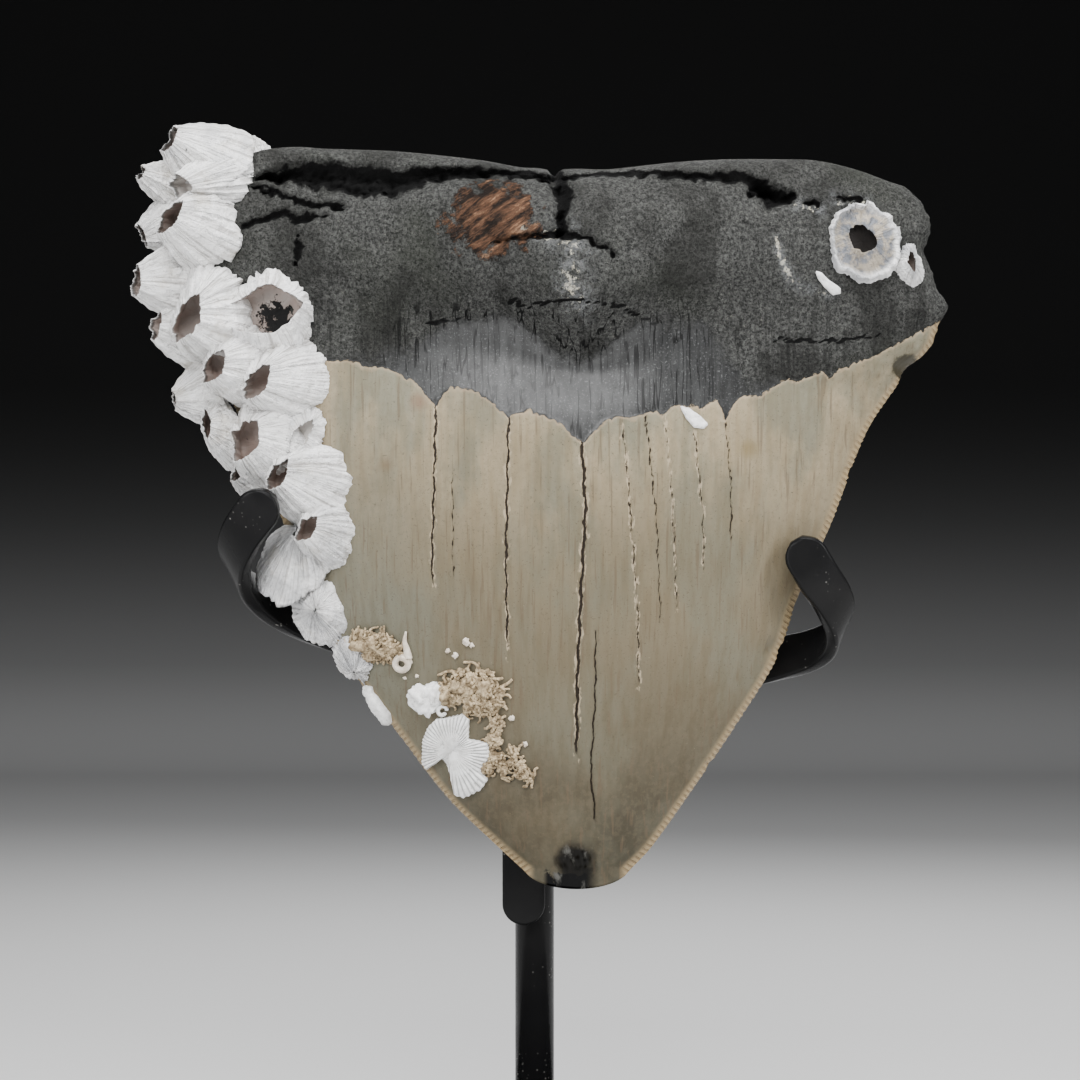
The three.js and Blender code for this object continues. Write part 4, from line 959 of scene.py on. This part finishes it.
def make_shell_material():
    material, surface, place = new_material("barnacle_shell", 0.75)
    ribs = place.layer("rib_place", "Vector")
    rib, fine_rib = ribs.noise(1.0, 3.0, 0.55), ribs.stretched(2.6, 2.6, 1.2).noise(1.0, 2.0)
    rise, inside, pit_shade, worn = (place.layer(name) for name in ("rise", "inside", "pit_shade", "worn"))
    chalk = place.noise(420.0, 5.0, 0.6)

    # Outside: chalky white, grey between the ribs as painted shade, with a little stain and grit
    groove_shade = rib.between(0.47, 0.33, 0.0, 0.9).maths("MAXIMUM", fine_rib.between(0.45, 0.3, 0.0, 0.7))
    tint = chalk.between(0.35, 0.65).colours((0.9, 0.89, 0.875), (0.97, 0.965, 0.96))
    tint = tint.under((groove_shade * worn.between(0.5, 1.0, 1.0, 0.25), (0.5, 0.48, 0.46)),
                      (place.noise(130.0, 5.0, 0.6).between(0.56, 0.72, 0.0, 0.5), (0.52, 0.46, 0.36)),
                      (place.noise(1900.0, 2.0).between(0.68, 0.76, 0.0, 0.4), (0.25, 0.22, 0.19)))

    # Pit: brownish and smooth, paler in some shells, and one with a black crust
    # Painted shade: each pit darkens deeper down, and a pit_shade below 0 paints the hole near black
    mouth = inside.between(0.35, 0.95).colours((0.44, 0.355, 0.315), (0.23, 0.165, 0.138))
    mouth = mouth.under((place.noise(240.0, 4.0).between(0.3, 0.72, 0.0, 0.6), (0.38, 0.36, 0.34)),
                        (pit_shade.between(0.0, 1.0), (0.6, 0.57, 0.54)),
                        (pit_shade.between(-1.0, 0.0, 1.0, 0.0), (0.012, 0.01, 0.009)))
    bluish = place.noise(170.0, 3.0).between(0.44, 0.6, 0.0, 0.75)
    dished = rise.between(0.34, 0.6) * worn.between(0.9, 1.0)
    tar = (place.layer("tar") + place.noise(700.0, 4.0, 0.7) * 2.6).between(1.75, 1.95)
    tint = tint.under((bluish * worn, (0.4, 0.41, 0.43)),
                      (dished, chalk.between(0.42, 0.58).colours((0.2, 0.21, 0.23), (0.42, 0.37, 0.3))),
                      (inside.between(0.22, 0.42), mouth), (tar, (0.006, 0.006, 0.006)))
    tint.to(surface, "Base Color")
    relief = rib * 0.9 + fine_rib * 0.4 + place.noise(1100.0, 3.0, 0.6) * 0.4 + chalk * 2.2
    (relief * inside.between(0.2, 0.4, 1.0, 0.15)).bump(1.0, 0.001).to(surface, "Normal")
    surface.inputs["Specular IOR Level"].default_value = 0.2
    return material


shell_material = make_shell_material()
for number, key in enumerate(SHELLS):
    make_barnacle(key, number + 1)


# Shell plate: the ridged foot of a lost barnacle, flat on the crown. Fine ridges run out from its middle to a
# scalloped edge, and one side is broken away.
FAN_OUTLINE = [
    (-27.4, 29.6), (-26, 31), (-23.4, 31.4), (-21, 32), (-20.2, 31.2), (-20.4, 27.4), (-16.7, 26.9),
    (-16.6, 24.4), (-18.1, 21.7), (-16.9, 20.3), (-18.1, 18.4), (-21, 16.9), (-22.8, 17.3), (-23.3, 20.3),
    (-24, 23), (-25, 24.1), (-26.2, 23), (-27.6, 21.7), (-28.5, 23), (-28.4, 27.1)]
FAN_MIDDLE, FAN_RIDGES = (-23.2, 25.4), 52
FAN_AROUND, FAN_ALONG, FAN_UNDER = 260, 26, 0.25


def make_growth_material(name, light, dark, scale, roughness=0.85):
    material, surface, place = new_material(name, roughness)
    mottle = place.noise(scale, 5.0, 0.65)
    grit = place.noise(scale * 3.5, 2.0).between(0.6, 0.72, 0.0, 0.5)
    # Dark grit, and painted shade in the grooves that a mesh's groove_shade layer marks
    tint = mottle.between(0.36, 0.66).colours(dark, light).under(
        (grit, tuple(value * 0.35 for value in dark)),
        (place.layer("groove_shade").between(0.5, 0.95, 0.0, 0.75), tuple(value * 0.4 for value in dark)))
    tint.to(surface, "Base Color")
    mottle.bump(0.7, 0.0004).to(surface, "Normal")
    return material


def on_tooth(x, z):
    """The point of the tooth's front under x and z, and the way out of the tooth there."""
    start = Vector((x + TOOTH_X, TOOTH_Y - 60, z + TIP_HEIGHT))
    place, normal, _, _ = tooth_faces.ray_cast(start, Vector((0, 1, 0)))
    return place, normal


def outline_reach(angle, outline, middle):
    """How far an outline lies from its middle in the given direction."""
    best = 0.0
    way = (math.cos(angle), math.sin(angle))
    for (ax, az), (bx, bz) in zip(outline, outline[1:] + outline[:1]):
        ex, ez = bx - ax, bz - az
        cross = way[0] * ez - way[1] * ex
        if abs(cross) < 1e-9:
            continue
        px, pz = ax - middle[0], az - middle[1]
        out = (px * ez - pz * ex) / cross
        along = (px * way[1] - pz * way[0]) / cross
        if out > 0 and 0 <= along <= 1:
            best = max(best, out)
    return best


def top_and_under(share, under_share):
    """The shares of the way up under a flat piece's edge and of the way in over its top."""
    return np.clip((share - under_share) / (1 - under_share), 0, 1), np.clip(share / under_share, 0, 1)


def make_plate():
    def shape(turn, share):
        angle = turn * 2 * math.pi
        cos, sin = np.cos(angle), np.sin(angle)
        ribs = np.cos(angle * FAN_RIDGES + 2.4 * around_noise(cos, sin, 2.0, 3.0))
        top, under = top_and_under(share, FAN_UNDER)
        out = (1 - top) * 0.98 + 0.02
        radius = np.array([outline_reach(a, FAN_OUTLINE, FAN_MIDDLE) for a in angle])
        radius = radius * out * (1 + 0.014 * ribs * out)
        x, z = FAN_MIDDLE[0] + cos * radius, FAN_MIDDLE[1] + sin * radius
        height = 1.25 - 0.35 * out ** 6 - 0.45 * np.exp(-(radius / 1.6) ** 2)
        height += 0.12 * around_noise(x, z, 0.5, 4.0) + 0.24 * ribs * out ** 0.7 * np.clip(top * 8, 0, 1)
        height = height * under - 0.5 * (1 - under)
        points = [place + normal * h for (place, normal), h in zip(map(on_tooth, x, z), height)]
        # The layer darkens the grooves between the ridges on top: painted shade
        return points, (0.5 - 0.5 * ribs) * np.clip(out * 2.5 - 0.5, 0, 1) * (top > 0)

    mesh = bmesh.new()
    rolled_sheet(mesh, FAN_AROUND, FAN_ALONG, shape, [mesh.verts.layers.float.new("groove_shade")])
    finished_piece(mesh, "shell_plate", shell_white, "shell_fan")


shell_white = make_growth_material("flake_white", (0.93, 0.93, 0.92), (0.74, 0.73, 0.71), 500.0)
make_plate()


# Shell knob: a small wrinkled lump of white shell beside the worm crust, grown together from four smaller
# lumps, with a tiny ring-shaped tube at its foot.
KNOB_LUMPS = ((-28.4, 34.6, 2.3), (-26.4, 35.6, 1.9), (-27.4, 33.6, 1.6), (-29.2, 35.6, 1.3))


def add_lump(mesh, place, radius, seed, squash, rough_share, detail):
    for vertex in bmesh.ops.create_icosphere(mesh, subdivisions=detail, radius=1)["verts"]:
        swell = 1 + rough_share * noise.fractal(vertex.co * 1.4 + Vector((seed, 0, 0)), 1.0, 2.0, 4)
        spot = vertex.co * radius * swell
        spot.y *= squash
        vertex.co = place + spot


def add_tube(mesh, line, radius, around, taper=0.0):
    """A closed tube of the given radius along a line of points."""
    last = len(line) - 1
    frames = []
    side = Vector((0.31, -0.2, 0.93))
    for step, point in enumerate(line):
        ahead = (line[min(step + 1, last)] - line[max(step - 1, 0)]).normalized()
        side = (side - ahead * side.dot(ahead)).normalized()
        frames.append((point, side, ahead.cross(side), radius * (1 - taper * step / last)))

    def shape(turn, share):
        points = []
        for a, b in zip(turn * 2 * math.pi, np.rint(share * last).astype(int)):
            point, side_way, other_way, size = frames[b]
            points.append(point + side_way * (size * math.cos(a)) + other_way * (size * math.sin(a)))
        return (points,)

    rolled_sheet(mesh, around, last, shape)


def settled_ring(x, z, radius, turns, rise, steps, drift=0.0):
    line = []
    for step in range(steps + 1):
        share = step / steps
        angle = 2 * math.pi * turns * share
        size = radius * (1 - drift * share)
        place, normal = on_tooth(x + size * math.cos(angle), z + size * math.sin(angle))
        line.append(place + normal * (rise * (0.4 + 0.8 * share)))
    return line


knob_mesh = bmesh.new()
for number, (x, z, radius) in enumerate(KNOB_LUMPS):
    place, normal = on_tooth(x, z)
    add_lump(knob_mesh, place + normal * 0.5, radius, number * 4.1, 0.8, 0.5, 4)
add_tube(knob_mesh, settled_ring(-24.9, 32.6, 0.75, 0.92, 0.9, 26), 0.34, 10)
finished_piece(knob_mesh, "shell_knob_lump", shell_white, "shell_knob")


# Worm crusts: mats of thin sandy tubes that worms built low on the crown. Each grows over a few lumps, given
# by place and radius, and some thin out into loose strands.
WORM_CRUSTS = {
    "tube_crust_upper": ((-38.8, 44.6, 2.7), (-36.2, 44.2, 2.8), (-34.2, 43.6, 2.1), (-37.4, 42.6, 1.9)),
    "tube_crust_lower": (
        (-23.6, 35.6, 2.6), (-20.6, 37.4, 3.0), (-17.2, 36.8, 3.0), (-19, 33.8, 2.6), (-16.2, 34.2, 2)),
    "tube_crust_tail": (
        (-15.4, 30.4, 1.5), (-15.8, 27.4, 1.6), (-15.4, 24.2, 1.7), (-13.8, 22, 1.2), (-17, 22.6, 1.3)),
    "tube_crust_strand": ((-12.4, 25.2, 1.0), (-12.2, 23.2, 1.2), (-10.8, 21.6, 1.4), (-9.4, 20.8, 0.9)),
}
LOOSE_STRANDS = {
    "tube_crust_lower": (((-21, 38.6), (-23.4, 39.6), (-25.8, 38.8)), ((-18, 39), (-19.2, 41), (-21.2, 41.2)),
                         ((-15, 36.6), (-13.2, 37.6), (-12.6, 38.2)),
                         ((-15.4, 35), (-13.4, 35.4), (-12.8, 34.8))),
    "tube_crust_upper": (((-33.4, 43), (-32.4, 43.4), (-31.6, 44.4)),),
}
STRAND_STEPS, STRAND_STEP = 11, 0.17


def line_on_tooth(points, steps, lift):
    """A smooth line over the tooth through points of its front, lifted off it by what lift() gives."""
    line, _ = curve_through([(x, 0, z) for x, z in points], steps)
    settled = [on_tooth(x, z) for x, _, z in line]
    return [place + normal * lift() for place, normal in settled]


def make_worm_crust(node_name, seed):
    chance = random.Random(seed)
    mesh = bmesh.new()
    for number, (x, z, radius) in enumerate(WORM_CRUSTS[node_name]):
        place, normal = on_tooth(x, z)
        add_lump(mesh, place + normal * 0.1 * radius, radius * 0.82, seed + number * 3.3, 0.5, 0.6, 4)
        for _ in range(int(9 * radius)):
            way = chance.uniform(0, 2 * math.pi)
            out = radius * math.sqrt(chance.random())
            start_x, start_z = x + out * math.cos(way), z + out * math.sin(way)
            rise = 0.45 * radius * math.sqrt(max(1 - (out / radius) ** 2, 0)) + 0.15
            heading = chance.uniform(0, 2 * math.pi)
            line = []
            for step in range(STRAND_STEPS):
                heading += chance.uniform(-0.7, 0.7)
                start_x += STRAND_STEP * math.cos(heading)
                start_z += STRAND_STEP * math.sin(heading)
                away = min(math.hypot(start_x - x, start_z - z) / (radius * 1.25), 1)
                under, out_way = on_tooth(start_x, start_z)
                line.append(under + out_way * (rise * (1 - away ** 2) + 0.3 + 0.1 * math.sin(step * 1.3)))
            add_tube(mesh, line, chance.uniform(0.2, 0.33), 7, 0.2)
        for _ in range(int(7 * radius)):
            way = chance.uniform(0, 2 * math.pi)
            out = radius * 1.05 * math.sqrt(chance.random())
            under, out_way = on_tooth(x + out * math.cos(way), z + out * math.sin(way))
            lift = 0.5 * radius * math.sqrt(max(1 - (out / (radius * 1.1)) ** 2, 0))
            size, grain_seed = chance.uniform(0.2, 0.42), chance.uniform(0, 50)
            add_lump(mesh, under + out_way * lift, size, grain_seed, 0.9, 0.5, 2)
    for strand in LOOSE_STRANDS.get(node_name, ()):
        line = line_on_tooth(strand, 14, lambda: 0.25 + chance.uniform(0, 0.12))
        add_tube(mesh, line, 0.34, 8, 0.3)
    finished_piece(mesh, node_name.replace("tube", "worm"), worm_sand, node_name)


worm_sand = make_growth_material("worm_sand", (0.53, 0.42, 0.265), (0.17, 0.12, 0.065), 900.0)
for number, node_name in enumerate(WORM_CRUSTS):
    make_worm_crust(node_name, 40 + number)


# Coiled worm tube: one cream-white tube wound into a flat ring beside the upper crust. Its free end runs
# straight up the tooth and narrows there.
COIL_TAIL = ((-31, 41.8), (-31.2, 43.2), (-31.6, 44.8), (-31.4, 46.6))
worm_cream = make_growth_material("worm_cream", (0.74, 0.68, 0.58), (0.55, 0.47, 0.37), 600.0, 0.7)
coil_mesh = bmesh.new()
add_tube(coil_mesh, settled_ring(-32.1, 40.9, 1.25, 1.25, 0.7, 44, 0.12), 0.58, 14)
add_tube(coil_mesh, line_on_tooth(COIL_TAIL, 22, lambda: 0.5), 0.8, 12, 0.75)
finished_piece(coil_mesh, "coiled_tube", worm_cream, "coiled_worm_tube")


# Flakes: four thin bits of white shell left stuck to the tooth, two on its front and two at its left edge.
# Each is an outline with a height, bent to the tooth under it.
FLAKES = [
    (((16.9, 86.4), (18.6, 86), (20.6, 84.6), (22, 83.2), (21.2, 82.4), (19.4, 82.6), (18, 84.2)), 0.5),
    (((41, 110.5), (42.2, 110.2), (43.6, 108.9), (45.6, 107.7), (45.8, 106.6), (44.2, 106.4), (42.8, 107.6),
      (41.6, 109)), 0.6),
    (((-38.4, 36), (-36.8, 34.6), (-34.6, 31.6), (-34.2, 29.8), (-35.8, 29.6), (-37.4, 31.4),
      (-38.6, 33.6)), 1.4),
    (((-39.2, 36.8), (-37.8, 36.4), (-37.4, 34.4), (-38.8, 33.8), (-39.6, 35)), 0.9),
]
FLAKE_UNDER, FLAKE_SINK = 0.3, 0.4


def make_flake(number, outline, height):
    middle = (sum(x for x, _ in outline) / len(outline), sum(z for _, z in outline) / len(outline))

    def shape(turn, share):
        angle = turn * 2 * math.pi
        cos, sin = np.cos(angle), np.sin(angle)
        top, under = top_and_under(share, FLAKE_UNDER)
        reach = np.array([outline_reach(a, outline, middle) for a in angle])
        radius = reach * (0.98 * (1 - top) + 0.02) * (1 + 0.07 * around_noise(cos, sin, 2.4, number + 1))
        points = []
        for a, b, t, u in zip(middle[0] + cos * radius, middle[1] + sin * radius, top, under):
            place, normal = on_tooth(a, b)
            if place is None:
                beside = Vector((a + TOOTH_X, TOOTH_Y - 1, b + TIP_HEIGHT))
                place, normal, _, _ = tooth_faces.find_nearest(beside)
            lift = height * (0.55 + 0.45 * math.sin(min(t * 3, 1) * math.pi / 2))
            lift += 0.25 * height * noise.fractal(Vector((a * 0.9, number, b * 0.9)), 1.0, 2.0, 4)
            points.append(place + normal * (lift * u - FLAKE_SINK * (1 - u)))
        return (points,)

    mesh = bmesh.new()
    rolled_sheet(mesh, 56, 14, shape)
    finished_piece(mesh, f"flake_{number + 1}", shell_white)


for number, (outline, height) in enumerate(FLAKES):
    make_flake(number, outline, height)


# Sand crumbs: small rough grains that lie loose about the worm crusts and stick to the enamel, each given by
# its place and radius.
CRUMBS = [(-20.6, 44.8, 0.62), (-19.8, 44.2, 0.45), (-24, 43.2, 0.4), (-22.7, 42.4, 0.45), (-12.7, 31.2, 0.5),
          (-29.6, 38.6, 0.3), (-31.8, 38.2, 0.3), (-26.3, 33.1, 0.4), (-10.3, 26.6, 0.4)]
crumb_mesh = bmesh.new()
for number, (x, z, radius) in enumerate(CRUMBS):
    place, normal = on_tooth(x, z)
    add_lump(crumb_mesh, place + normal * radius * 0.4, radius, number * 2.7, 0.9, 0.7, 3)
finished_piece(crumb_mesh, "sand_crumbs", worm_cream)
